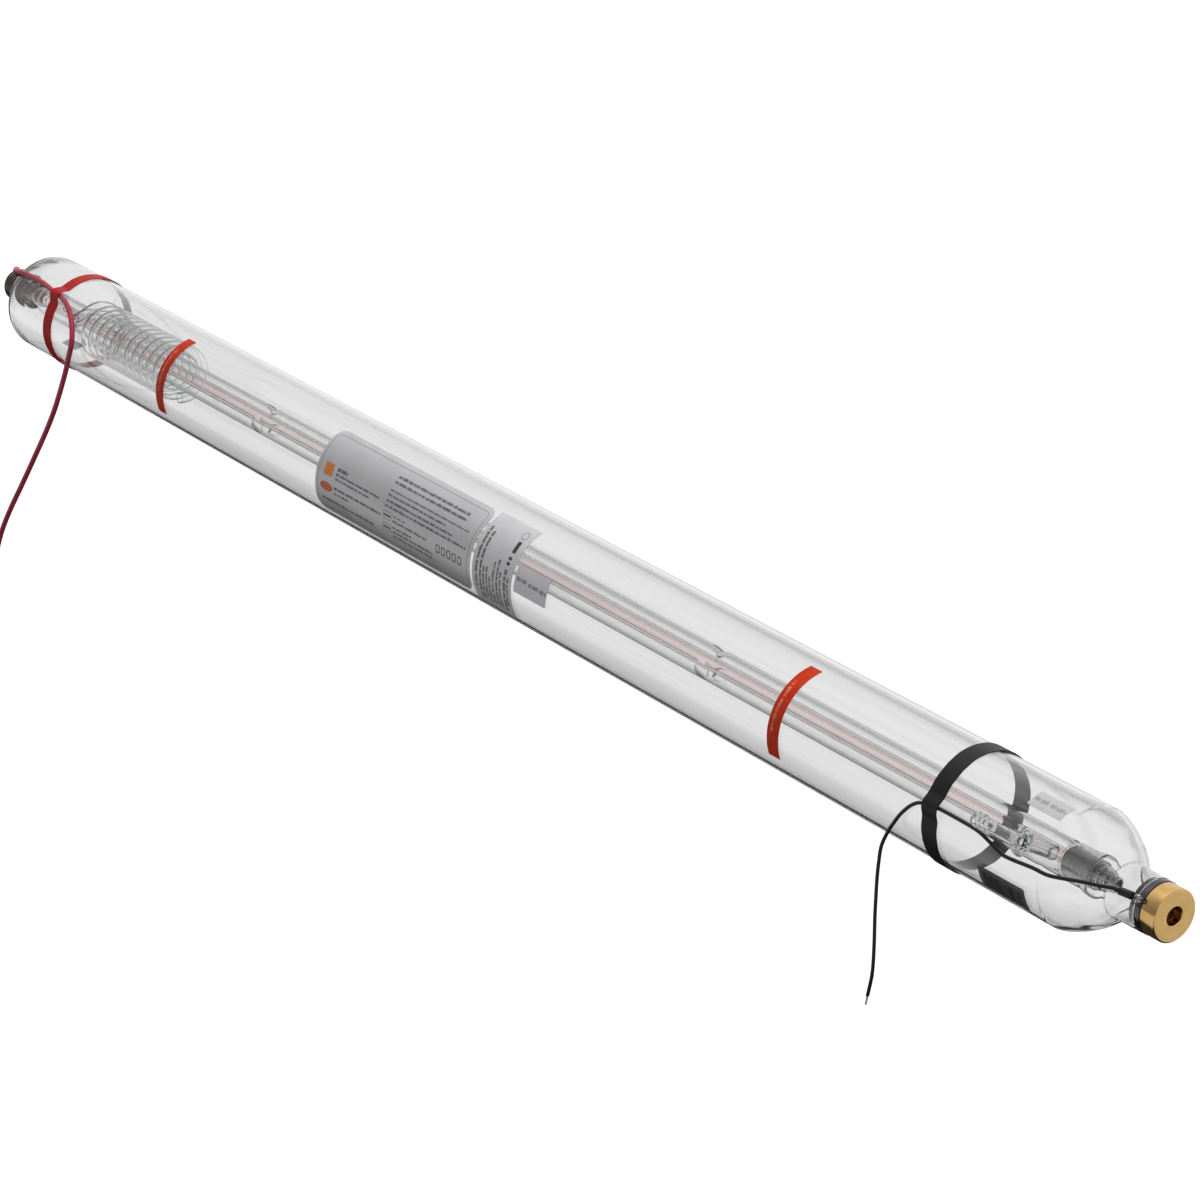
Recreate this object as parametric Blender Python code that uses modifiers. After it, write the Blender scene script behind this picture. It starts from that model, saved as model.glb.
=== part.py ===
"""Glass laser tube: a blown glass envelope with a water-cooled discharge tube
inside it, a spiral gas return, metal heads with mirrors at both ends, water
nipples, tapes, labels and two leads.

Frame: the optical axis is X, +X is the output end, +Z is up, and the origin
lies on the axis at the middle of the length. All sizes are in metres.
"""

import math

import bmesh
import bpy
from mathutils import Euler, Vector

# Overall sizes
TUBE_LENGTH = 1.450
GAP = 0.0003

# Envelope, the outer glass
ENVELOPE_RADIUS = 0.040
ENVELOPE_WALL = 0.0025
FRONT_SHOULDER_LENGTH = 0.036
REAR_SHOULDER_LENGTH = 0.028
FRONT_SHOULDER_POWER = 1.3
REAR_SHOULDER_POWER = 1.42
FRONT_NECK_RADIUS = 0.0175
FRONT_NECK_LENGTH = 0.0235
REAR_NECK_RADIUS = 0.0135
REAR_NECK_LENGTH = 0.0194

# Output head, its mirror and the ring that seals it to the glass
HEAD_RADIUS = 0.017
HEAD_LENGTH = 0.0117
HEAD_CHAMFER = 0.0009
APERTURE_RADIUS = 0.006
APERTURE_DEPTH = 0.0072
COUPLER_RADIUS = 0.0095
COUPLER_THICKNESS = 0.004
SEAL_RING_RADIUS = 0.0173
SEAL_RING_LENGTH = 0.0045
SEAL_SPIGOT_LENGTH = 0.005
BEAM_BORE_RADIUS = 0.008

# Rear cap, its mirror and the collar round the neck
REAR_CAP_RADIUS = 0.014
REAR_CAP_LENGTH = 0.014
REAR_CAP_CHAMFER = 0.0012
REAR_MIRROR_RADIUS = 0.0095
REAR_MIRROR_THICKNESS = 0.004
REAR_COLLAR_RADIUS = 0.016
REAR_COLLAR_LENGTH = 0.0072

# Water jacket and discharge tube
JACKET_RADIUS = 0.012
JACKET_WALL = 0.0015
JACKET_FRONT_SETBACK = 0.0121
JACKET_REAR_SETBACK = -0.004
JACKET_END_ROUND = 0.003
DIMPLE_FRONT_X = 0.283
DIMPLE_REAR_X = -0.297
DIMPLE_REACH = 0.008
DISCHARGE_RADIUS = 0.005
DISCHARGE_BORE = 0.003
ANODE_END_RADIUS = 0.0082
ANODE_END_BORE = 0.0067
ANODE_END_SETBACK = 0.010
DISCHARGE_OVERHANG = 0.0005

# Gas return coil
COIL_TUBE_RADIUS = 0.0046
COIL_TUBE_WALL = 0.001
COIL_MEAN_RADIUS = 0.0195
COIL_PITCH = 0.01206
COIL_TURNS = 10.5
COIL_END_PITCH = 0.0096
COIL_END_TURNS = 0.8
COIL_FRONT_X = -0.4334
COIL_FRONT_ANGLE = 256
COIL_POINTS_PER_TURN = 10
# The coil's rear lead: distance in front of its foot, from the axis, angle
COIL_FOOT_X = -0.5965
COIL_LEAD_TAPER = 0.78
COIL_LEAD = [
    (0.0000, 0.0105, 168),
    (0.0018, 0.0150, 165),
    (0.0060, 0.0170, 156.5),
    (0.0115, 0.0172, 144.5),
    (0.0158, 0.0175, 130),
    (0.0185, 0.0181, 116),
    (0.0203, 0.0190, 101),
    (0.0218, 0.0195, 85),
    (0.0240, 0.0195, 60),
    (0.0265, 0.0195, 32),
]

# Electrodes
CHAMBER_RADIUS = 0.0124
CHAMBER_LIP_RADIUS = 0.0137
CHAMBER_WALL = 0.0012
CHAMBER_LENGTH = 0.0272
CATHODE_RADIUS = 0.0096
CATHODE_WALL = 0.0008
CATHODE_LENGTH = 0.0241
COLLAR_STEPS = [(0.0078, 0.0052), (0.0068, 0.0055), (0.0056, 0.005), (0.0046, 0.0045)]
COLLAR_BORE = 0.0036
COLLAR_PLUG = 0.0025
ANODE_SLEEVE_WALL = 0.0008
ANODE_SLEEVE_LENGTH = 0.020
TERMINAL_RADIUS = 0.0027
TERMINAL_HEIGHT = 0.0042
PIN_RADIUS = 0.0006
CATHODE_TERMINAL_ANGLE = math.radians(147)
ANODE_TERMINAL_ANGLE = math.radians(117.5)
PIN_WIRE_RADIUS = 0.0005

# Water fittings
FITTING_RADIUS = 0.0045
FITTING_BORE = 0.003
FITTING_HEIGHT = 0.008
FITTING_BEND = 0.0056
FITTING_REACH = 0.0345
BARB_RADIUS = 0.0052
BARB_LENGTH = 0.0042
BARB_COUNT = 4
FLARE_RADIUS = 0.0092
FLARE_HEIGHT = 0.0048
OUTLET_ANGLE = math.radians(150.5)
INLET_ANGLE = math.radians(330.5)
OUTLET_SETBACK = 0.007
INLET_SETBACK = 0.018

# Tapes, strips and labels: thin skins on the glass
SKIN = 0.0003
TAPE_THICKNESS = 0.0006
BLACK_TAPE_SETBACK = 0.1748
BLACK_TAPE_WIDTH = 0.0142
BLACK_TAPE_SLANT = 0.0024
BLACK_TAPE_ANGLE = math.radians(161)
RED_TAPE_SETBACK = 0.1295
RED_TAPE_WIDTH = 0.0135
RED_TAPE_SLANT = 0.002
RED_TAPE_ANGLE = math.radians(132.5)
TAPE_FOLD_WIDTH = 0.009
STRIP_WIDTH = 0.0116
FRONT_STRIP_ANGLES = (98, 198.5)
REAR_STRIP_ANGLES = (102, 201.5)
FRONT_STRIP_X = 0.3965
REAR_STRIP_X = -0.4025
# Labels: reach along the tube and round it, the three at the ends measured
# in from the end face
MAIN_LABEL_X = (-0.164, 0.0455)
MAIN_LABEL_ANGLES = (111, 206.5)
MAIN_LABEL_CORNER = 0.009
CERTIFICATE_LABEL_X = (0.0466, 0.0975)
CERTIFICATE_LABEL_ANGLES = (109.5, 212.5)
SIDE_LABEL_X = (0.101, 0.1396)
SIDE_LABEL_ANGLES = (148.3, 177)
OUTLET_LABEL_SETBACK = (0.109, 0.080)
OUTLET_LABEL_ANGLES = (101, 119.2)
INLET_LABEL_SETBACK = (0.0635, 0.0875)
INLET_LABEL_ANGLES = (280, 294.3)
STOCK_LABEL_SETBACK = (0.128, 0.086)
STOCK_LABEL_ANGLES = (190, 214.5)
STOCK_LABEL_CORNER = 0.0015

# Leads: diameters and the points that they pass, each first number measured
# in from the lead's own end face: (x, radius, angle) on the tube, where the
# radius is for this envelope, and (x, y, z) where they hang
BLACK_LEAD_RADIUS = 0.0012
RED_LEAD_RADIUS = 0.0022
BLACK_SLEEVE_RADIUS = 0.0023
RED_SLEEVE_RADIUS = 0.0027
LEAD_STRAIGHT = 0.004
LEAD_TIP_LENGTH = 0.007
BLACK_LEAD_ON_TUBE = [
    (0.0275, 0.0222, 149.6),
    (0.0390, 0.0262, 155.5),
    (0.0500, 0.0313, 160.0),
    (0.0660, 0.0393, 165.0),
    (0.0790, 0.0417, 165.0),
    (0.0986, 0.0417, 167.6),
    (0.1077, 0.0417, 167.0),
    (0.1278, 0.0417, 160.3),
    (0.1465, 0.0417, 159.3),
    (0.1670, 0.0417, 159.6),
    (0.1815, 0.0417, 162.4),
    (0.1895, 0.0418, 168.8),
    (0.1972, 0.0424, 180.2),
]
BLACK_LEAD_FREE = [
    (0.2040, -0.0428, -0.0098),
    (0.2087, -0.0431, -0.0176),
    (0.2137, -0.0433, -0.0285),
    (0.2156, -0.0434, -0.0400),
    (0.2168, -0.0434, -0.0522),
    (0.2173, -0.0434, -0.0648),
    (0.2177, -0.0434, -0.0796),
    (0.2176, -0.0434, -0.0990),
    (0.2186, -0.0434, -0.1190),
    (0.2226, -0.0434, -0.1370),
]
RED_LEAD_ON_TUBE = [
    (0.0265, 0.0264, 121.5),
    (0.0325, 0.0303, 124.8),
    (0.0390, 0.0338, 127.6),
    (0.0460, 0.0372, 129.5),
    (0.0530, 0.0402, 130.6),
    (0.0600, 0.0421, 130.6),
    (0.0666, 0.0427, 130.0),
    (0.0750, 0.0427, 129.3),
    (0.1010, 0.0427, 129.1),
    (0.1189, 0.0427, 131.4),
    (0.1306, 0.0427, 132.6),
    (0.1444, 0.0427, 134.9),
    (0.1550, 0.0427, 139.3),
    (0.1640, 0.0427, 145.3),
    (0.1710, 0.0429, 151.6),
    (0.1763, 0.0432, 158.2),
    (0.1798, 0.0436, 165.5),
    (0.1814, 0.0442, 172.8),
]
RED_LEAD_FREE = [
    (0.1810, -0.0452, -0.0005),
    (0.1785, -0.0462, -0.0085),
    (0.1762, -0.0471, -0.0165),
    (0.1734, -0.0480, -0.0245),
    (0.1669, -0.0497, -0.0401),
    (0.1597, -0.0514, -0.0559),
    (0.1505, -0.0531, -0.0723),
    (0.1393, -0.0548, -0.0897),
    (0.1274, -0.0565, -0.1072),
    (0.1151, -0.0581, -0.1250),
    (0.1026, -0.0598, -0.1429),
    (0.0895, -0.0615, -0.1613),
    (0.0776, -0.0632, -0.1794),
    (0.0683, -0.0649, -0.1968),
    (0.0600, -0.0662, -0.2180),
    (0.0544, -0.0672, -0.2450),
    (0.0515, -0.0680, -0.2800),
    (0.0505, -0.0684, -0.3150),
]

# Faces around the turned pieces
ENVELOPE_SIDES = 36
JACKET_SIDES = 20
HEAD_SIDES = 28
SMALL_SIDES = 20

# Places along the axis, from the ends inwards
FRONT_FACE = TUBE_LENGTH / 2
HEAD_BACK = FRONT_FACE - HEAD_LENGTH
RING_FRONT = HEAD_BACK - GAP
RING_BACK = RING_FRONT - SEAL_RING_LENGTH
NECK_FRONT = RING_BACK - GAP
FRONT_SHOULDER_END = NECK_FRONT - FRONT_NECK_LENGTH
FRONT_SHOULDER_START = FRONT_SHOULDER_END - FRONT_SHOULDER_LENGTH
REAR_FACE = -TUBE_LENGTH / 2
CAP_FRONT = REAR_FACE + REAR_CAP_LENGTH
COLLAR_BACK = CAP_FRONT + GAP
NECK_REAR = CAP_FRONT + 2 * GAP
REAR_SHOULDER_END = NECK_REAR + REAR_NECK_LENGTH
REAR_SHOULDER_START = REAR_SHOULDER_END + REAR_SHOULDER_LENGTH
JACKET_FRONT = FRONT_SHOULDER_START - JACKET_FRONT_SETBACK
JACKET_REAR = REAR_SHOULDER_START + JACKET_REAR_SETBACK
DISCHARGE_REAR = CAP_FRONT + ANODE_END_SETBACK
DISCHARGE_FRONT = JACKET_FRONT + DISCHARGE_OVERHANG
OUTLET_X = JACKET_FRONT - OUTLET_SETBACK
INLET_X = JACKET_REAR + INLET_SETBACK
CHAMBER_BACK = JACKET_FRONT + GAP
CATHODE_BACK = DISCHARGE_FRONT + GAP
CATHODE_FRONT = CATHODE_BACK + CATHODE_LENGTH
CATHODE_TERMINAL_X = RING_BACK + SEAL_RING_LENGTH / 2
BLACK_TAPE_X = FRONT_FACE - BLACK_TAPE_SETBACK
RED_TAPE_X = REAR_FACE + RED_TAPE_SETBACK
FITTING_STANDOFF = ENVELOPE_RADIUS + FITTING_HEIGHT
ANODE_TERMINAL_X = COLLAR_BACK + REAR_COLLAR_LENGTH / 2


def clear_scene():
    """Remove every object that the file starts with."""
    for thing in list(bpy.data.objects):
        bpy.data.objects.remove(thing, do_unlink=True)


clear_scene()
PARTS = bpy.data.collections.new("laser_tube")
CUTTERS = bpy.data.collections.new("cutters")
bpy.context.scene.collection.children.link(PARTS)
bpy.context.scene.collection.children.link(CUTTERS)


def material(name, colour, roughness, metallic=0.0, transmission=0.0):
    """A Principled BSDF with the piece's colour and finish."""
    made = bpy.data.materials.new(name)
    made.use_nodes = True
    shader = made.node_tree.nodes["Principled BSDF"]
    shader.inputs["Base Color"].default_value = (*colour, 1.0)
    shader.inputs["Roughness"].default_value = roughness
    shader.inputs["Metallic"].default_value = metallic
    shader.inputs["Transmission Weight"].default_value = transmission
    return made


GLASS = material("borosilicate_glass", (0.93, 0.95, 0.95), 0.03, 0.0, 1.0)
BRASS = material("turned_brass", (0.72, 0.55, 0.27), 0.32, 1.0)
BRONZE = material("dark_bronze", (0.12, 0.09, 0.07), 0.35, 1.0)
STEEL = material("polished_steel", (0.55, 0.54, 0.57), 0.18, 1.0)
NICKEL = material("nickel_sheet", (0.42, 0.42, 0.42), 0.35, 1.0)
ZINC_SELENIDE = material("zinc_selenide", (0.35, 0.22, 0.03), 0.08, 0.0, 0.3)
SILICON = material("coated_silicon", (0.55, 0.42, 0.18), 0.1, 1.0)
RED_RUBBER = material("red_silicone_rubber", (0.32, 0.03, 0.05), 0.45)
BLACK_PLASTIC = material("black_plastic", (0.01, 0.01, 0.01), 0.4)
RED_FILM = material("red_polyester_film", (0.42, 0.02, 0.02), 0.4)
RED_VINYL = material("red_printed_vinyl", (0.60, 0.08, 0.03), 0.45)
BLACK_FILM = material("black_vinyl_tape", (0.015, 0.015, 0.016), 0.4)
SILVER_PAPER = material("silver_label_film", (0.45, 0.45, 0.46), 0.35, 0.3)
WHITE_PAPER = material("white_label_paper", (0.75, 0.75, 0.74), 0.5)
DARK_PAPER = material("dark_label_film", (0.05, 0.05, 0.06), 0.4)
COPPER = material("tinned_copper", (0.6, 0.52, 0.45), 0.3, 1.0)


def place(thing, finish=None):
    """Put a piece in the tube's collection, with its material."""
    PARTS.objects.link(thing)
    if finish:
        thing.data.materials.clear()
        thing.data.materials.append(finish)
    return thing


def as_guide(thing):
    """Make an object a cutter or guide that is not part of the tube."""
    CUTTERS.objects.link(thing)
    thing.hide_render = True
    thing.display_type = "WIRE"
    return thing


def smooth(mesh):
    """Shade a mesh smooth, apart from its corners."""
    mesh.shade_smooth()
    mesh.set_sharp_from_angle(angle=math.radians(35))


def evaluated_mesh(thing):
    """The mesh that an object has after its modifiers or bevel."""
    bpy.context.view_layer.update()
    depsgraph = bpy.context.evaluated_depsgraph_get()
    return bpy.data.meshes.new_from_object(thing.evaluated_get(depsgraph))


def on_tube(x, radius, angle):
    """A point at a distance from the axis, its angle measured from +Y up."""
    return Vector((x, radius * math.cos(angle), radius * math.sin(angle)))


def radial_turn(angle):
    """The rotation that points a piece's own Z straight out of the tube."""
    return Euler((angle - math.pi / 2, 0.0, 0.0))


def screw(thing, sides):
    """Turn an object's profile about its own Z axis."""
    turn = thing.modifiers.new("turn", "SCREW")
    turn.axis = "Z"
    turn.steps = sides
    turn.render_steps = sides
    turn.use_merge_vertices = True
    turn.merge_threshold = 0.00001
    turn.use_smooth_shade = True


def profile_object(name, outline, closed):
    """A wire of (along, radius) points at +X, ready to be turned about Z."""
    mesh = bpy.data.meshes.new(name)
    points = [(radius, 0.0, along) for along, radius in outline]
    edges = [(i, i + 1) for i in range(len(points) - 1)]
    if closed:
        edges.append((len(points) - 1, 0))
    mesh.from_pydata(points, edges, [])
    return bpy.data.objects.new(name, mesh)


def turned(name, outline, finish, sides=SMALL_SIDES, closed=True):
    """A piece turned about the optical axis. Its outline runs from the output
    end back along the outer side, and a closed one returns through the bore."""
    thing = place(profile_object(name, outline, closed), finish)
    thing.rotation_euler = (0.0, math.pi / 2, 0.0)
    screw(thing, sides)
    return thing


def turned_guide(name, outline, sides, location, rotation):
    """A turned solid that cuts or joins, about its own Z axis."""
    thing = as_guide(profile_object(name, outline, False))
    thing.location = location
    thing.rotation_euler = rotation
    screw(thing, sides)
    return thing


def boolean(thing, other, operation):
    """Cut a piece with another object, or join the two."""
    step = thing.modifiers.new(operation.lower() + "_" + other.name, "BOOLEAN")
    step.operation = operation
    step.object = other
    step.solver = "EXACT"


def cylinder_guide(name, radius, start, end, sides=SMALL_SIDES):
    """A cylinder between two points, for cutting."""
    start, end = Vector(start), Vector(end)
    mesh = bpy.data.meshes.new(name)
    shape = bmesh.new()
    bmesh.ops.create_cone(
        shape,
        cap_ends=True,
        segments=sides,
        radius1=radius,
        radius2=radius,
        depth=(end - start).length,
    )
    shape.to_mesh(mesh)
    shape.free()
    thing = as_guide(bpy.data.objects.new(name, mesh))
    thing.location = (start + end) / 2
    thing.rotation_mode = "QUATERNION"
    thing.rotation_quaternion = (end - start).to_track_quat("Z", "Y")
    return thing


def wire_curve(name, points, radius, fineness=2):
    """A round wire or tube along points, with closed ends."""
    curve = bpy.data.curves.new(name, "CURVE")
    curve.dimensions = "3D"
    curve.bevel_depth = radius
    curve.bevel_resolution = fineness
    curve.use_fill_caps = True
    spline = curve.splines.new("POLY")
    spline.points.add(len(points) - 1)
    for spot, point in zip(spline.points, points):
        spot.co = (*point, 1.0)
    return bpy.data.objects.new(name, curve)


def mesh_from_curve(curve_object, name):
    """A curve's tube as a welded mesh that Booleans can use."""
    as_guide(curve_object)
    mesh = evaluated_mesh(curve_object)
    shape = bmesh.new()
    shape.from_mesh(mesh)
    bmesh.ops.remove_doubles(shape, verts=shape.verts, dist=0.000001)
    bmesh.ops.recalc_face_normals(shape, faces=shape.faces)
    shape.to_mesh(mesh)
    shape.free()
    made = bpy.data.objects.new(name, mesh)
    made.matrix_world = curve_object.matrix_world.copy()
    bpy.data.objects.remove(curve_object, do_unlink=True)
    return made


def smooth_route(points, spacing):
    """Evenly spaced points on the smooth curve that passes through a route."""
    route = [Vector(p) for p in points]
    ends = [2 * route[0] - route[1], *route, 2 * route[-1] - route[-2]]
    fine = []
    for before, start, end, after in zip(ends, ends[1:], ends[2:], ends[3:]):
        for step in range(20):
            t = step / 20
            fine.append(
                0.5
                * (
                    2 * start
                    + (end - before) * t
                    + (2 * before - 5 * start + 4 * end - after) * t**2
                    + (3 * start - before - 3 * end + after) * t**3
                )
            )
    fine.append(route[-1])
    walked = [0.0]
    for a, b in zip(fine, fine[1:]):
        walked.append(walked[-1] + (b - a).length)
    count = max(2, round(walked[-1] / spacing))
    even, place_on = [], 0
    for k in range(count + 1):
        want = walked[-1] * k / count
        while place_on < len(fine) - 2 and walked[place_on + 1] < want:
            place_on += 1
        span = walked[place_on + 1] - walked[place_on]
        even.append(fine[place_on].lerp(fine[place_on + 1], (want - walked[place_on]) / span))
    return even


def shoulder(start, length, neck_radius, power, towards, steps=5):
    """Points of a blown shoulder, from the full radius down to the neck."""
    points = []
    for k in range(steps + 1):
        along = 1 - (1 - k / steps) ** 1.5
        drop = (1 - along**power) ** (1 / power)
        radius = neck_radius + (ENVELOPE_RADIUS - neck_radius) * drop
        points.append((start + towards * along * length, radius))
    return points


def make_envelope():
    """The outer glass: one blown tube with a shoulder and a neck at each end,
    and a hole for each water fitting."""
    front = shoulder(
        FRONT_SHOULDER_START, FRONT_SHOULDER_LENGTH, FRONT_NECK_RADIUS, FRONT_SHOULDER_POWER, 1
    )
    rear = shoulder(
        REAR_SHOULDER_START, REAR_SHOULDER_LENGTH, REAR_NECK_RADIUS, REAR_SHOULDER_POWER, -1
    )
    outline = [(NECK_FRONT, FRONT_NECK_RADIUS), *reversed(front)]
    outline += [*rear, (NECK_REAR, REAR_NECK_RADIUS)]
    glass = turned("envelope", outline, GLASS, ENVELOPE_SIDES, closed=False)
    wall = glass.modifiers.new("wall", "SOLIDIFY")
    wall.thickness = ENVELOPE_WALL
    wall.offset = -1.0
    wall.use_even_offset = True
    for name, x, angle in (
        ("outlet_hole", OUTLET_X, OUTLET_ANGLE),
        ("inlet_hole", INLET_X, INLET_ANGLE),
    ):
        inner = JACKET_RADIUS - 2 * JACKET_WALL - GAP
        hole = cylinder_guide(
            name,
            FITTING_RADIUS + GAP,
            on_tube(x, inner, angle),
            on_tube(x, ENVELOPE_RADIUS + 0.01, angle),
        )
        boolean(glass, hole, "DIFFERENCE")
    return glass


def dent(mesh, x, angle, depth):
    """Press a smooth round dimple into a tube that is turned about Z."""
    spot = Vector((math.cos(angle), math.sin(angle), 0.0))
    for vertex in mesh.vertices:
        out = Vector((vertex.co.x, vertex.co.y, 0.0))
        if out.length == 0:
            continue
        around = out.angle(spot) * JACKET_RADIUS
        away = math.hypot(vertex.co.z - x, around)
        if away < DIMPLE_REACH:
            press = depth * math.cos(math.pi / 2 * away / DIMPLE_REACH) ** 2
            vertex.co -= out.normalized() * press


def make_jacket():
    """The water jacket: a thin tube with rounded ends, and two sets of three
    dimples that hold the discharge tube on the axis."""
    hole = DISCHARGE_RADIUS + GAP
    bend = JACKET_END_ROUND
    shrink = JACKET_RADIUS - hole
    outline = [(JACKET_FRONT, hole)]
    for k in range(1, 4):
        turn = k / 3 * math.pi / 2
        outline.append((JACKET_FRONT - bend * (1 - math.cos(turn)), hole + shrink * math.sin(turn)))
    for centre in (DIMPLE_FRONT_X, DIMPLE_REAR_X):
        for share in (1.1, 0.5, 0.0, -0.5, -1.1):
            outline.append((centre + share * DIMPLE_REACH, JACKET_RADIUS))
    for k in range(3, 0, -1):
        turn = k / 3 * math.pi / 2
        outline.append((JACKET_REAR + bend * (1 - math.cos(turn)), hole + shrink * math.sin(turn)))
    outline.append((JACKET_REAR, hole))
    wire = profile_object("jacket_profile", outline, False)
    as_guide(wire)
    screw(wire, JACKET_SIDES)
    mesh = evaluated_mesh(wire)
    bpy.data.objects.remove(wire, do_unlink=True)
    depth = JACKET_RADIUS - JACKET_WALL - hole
    for x in (DIMPLE_FRONT_X, DIMPLE_REAR_X):
        for third in range(3):
            dent(mesh, x, math.radians(60 + 120 * third), depth)
    jacket = place(bpy.data.objects.new("water_jacket", mesh), GLASS)
    jacket.rotation_euler = (0.0, math.pi / 2, 0.0)
    wall = jacket.modifiers.new("wall", "SOLIDIFY")
    wall.thickness = JACKET_WALL
    wall.offset = -1.0
    boolean(jacket, bpy.data.objects["outlet_hole"], "DIFFERENCE")
    boolean(jacket, bpy.data.objects["inlet_hole"], "DIFFERENCE")
    angle = math.radians(COIL_LEAD[0][2])
    inner = JACKET_RADIUS - 2 * JACKET_WALL
    outer = JACKET_RADIUS + 0.002
    lead_hole = cylinder_guide(
        "coil_lead_hole",
        COIL_TUBE_RADIUS * COIL_LEAD_TAPER + 0.0014,
        on_tube(COIL_FOOT_X, inner, angle),
        on_tube(COIL_FOOT_X, outer, angle),
    )
    boolean(jacket, lead_hole, "DIFFERENCE")
    return jacket


def make_discharge_tube():
    """The discharge tube: a thick capillary that widens at the anode end,
    where its lip is rounded in the flame."""
    widen = JACKET_REAR - GAP
    lip = (ANODE_END_RADIUS - ANODE_END_BORE) / 2
    middle = ANODE_END_BORE + lip
    outline = [
        (DISCHARGE_FRONT, DISCHARGE_RADIUS),
        (widen, DISCHARGE_RADIUS),
        (widen - 0.006, ANODE_END_RADIUS),
        (DISCHARGE_REAR + lip, ANODE_END_RADIUS),
    ]
    for k in range(1, 4):
        turn = k / 4 * math.pi
        outline.append((DISCHARGE_REAR + lip * (1 - math.sin(turn)), middle + lip * math.cos(turn)))
    outline += [
        (DISCHARGE_REAR + lip, ANODE_END_BORE),
        (widen - 0.006, ANODE_END_BORE),
        (widen + 0.002, DISCHARGE_BORE),
        (DISCHARGE_FRONT, DISCHARGE_BORE),
    ]
    return turned("discharge_tube", outline, GLASS, SMALL_SIDES)


def make_coil():
    """The gas return coil: a glass tube wound round the jacket. Its front end
    stands open, and its rear lead tapers and turns in to the discharge tube."""
    foot = math.radians(COIL_LEAD[0][2])
    lead = [on_tube(COIL_FOOT_X + x, radius, math.radians(a)) for x, radius, a in COIL_LEAD]
    turns = []
    x, angle = COIL_FRONT_X, math.radians(COIL_FRONT_ANGLE)
    steps = round((COIL_END_TURNS + COIL_TURNS) * COIL_POINTS_PER_TURN)
    for k in range(steps + 1):
        turns.append(on_tube(x, COIL_MEAN_RADIUS, angle))
        pitch = COIL_END_PITCH if k < COIL_END_TURNS * COIL_POINTS_PER_TURN else COIL_PITCH
        x -= pitch / COIL_POINTS_PER_TURN
        angle += 2 * math.pi / COIL_POINTS_PER_TURN
    turns.reverse()
    lead = smooth_route([*lead, turns[0]], 0.006)
    start = on_tube(COIL_FOOT_X, DISCHARGE_RADIUS + 2 * GAP, foot)
    tube = wire_curve("coil_line", [start, *lead, *turns[1:]], COIL_TUBE_RADIUS)
    tube.data.use_fill_caps = False
    for k, spot in enumerate(tube.data.splines[0].points):
        along = min(k / len(lead), 1.0)
        spot.radius = COIL_LEAD_TAPER + (1 - COIL_LEAD_TAPER) * along
    coil = place(mesh_from_curve(tube, "gas_return_coil"), GLASS)
    wall = coil.modifiers.new("wall", "SOLIDIFY")
    wall.thickness = COIL_TUBE_WALL
    wall.offset = -1.0
    return coil


def make_electrodes():
    """The cathode chamber, sleeve and collar, the anode sleeve, and the pin
    and wire that feed the cathode."""
    end = CHAMBER_BACK + CHAMBER_LENGTH
    lip = CHAMBER_WALL / 2
    outline = []
    for k in range(1, 4):
        turn = k / 4 * math.pi
        outline.append(
            (end - lip * (1 - math.sin(turn)), CHAMBER_LIP_RADIUS - lip - lip * math.cos(turn))
        )
    body = [
        (end - lip, CHAMBER_LIP_RADIUS),
        (end - 0.005, CHAMBER_LIP_RADIUS - 0.0002),
        (end - 0.008, CHAMBER_RADIUS + 0.0004),
        (end - 0.011, CHAMBER_RADIUS),
        (CHAMBER_BACK + 0.004, CHAMBER_RADIUS),
        (CHAMBER_BACK, JACKET_RADIUS - 0.0004),
    ]
    outline += body
    outline += [(x, radius - CHAMBER_WALL) for x, radius in reversed(body)]
    turned("cathode_chamber", outline, GLASS, SMALL_SIDES)

    bore = CATHODE_RADIUS - CATHODE_WALL
    sleeve = [
        (CATHODE_FRONT, CATHODE_RADIUS),
        (CATHODE_BACK, CATHODE_RADIUS),
        (CATHODE_BACK, bore),
        (CATHODE_FRONT, bore),
    ]
    turned("cathode_sleeve", sleeve, NICKEL, SMALL_SIDES)

    outline = [(CATHODE_FRONT, bore - GAP), (CATHODE_FRONT - COLLAR_PLUG, bore - GAP)]
    x = CATHODE_FRONT
    for radius, length in COLLAR_STEPS:
        outline.insert(0, (x, radius))
        outline.insert(0, (x + length - 0.0006, radius))
        x += length
    front = outline[0][0]
    outline += [(CATHODE_FRONT - COLLAR_PLUG, COLLAR_BORE), (front, COLLAR_BORE)]
    turned("cathode_collar", outline, NICKEL, SMALL_SIDES)

    outer = ANODE_END_BORE - GAP
    start = DISCHARGE_REAR + 0.001
    sleeve = [
        (start + ANODE_SLEEVE_LENGTH, outer),
        (start, outer),
        (start, outer - ANODE_SLEEVE_WALL),
        (start + ANODE_SLEEVE_LENGTH, outer - ANODE_SLEEVE_WALL),
    ]
    turned("anode_sleeve", sleeve, NICKEL, SMALL_SIDES)


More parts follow.
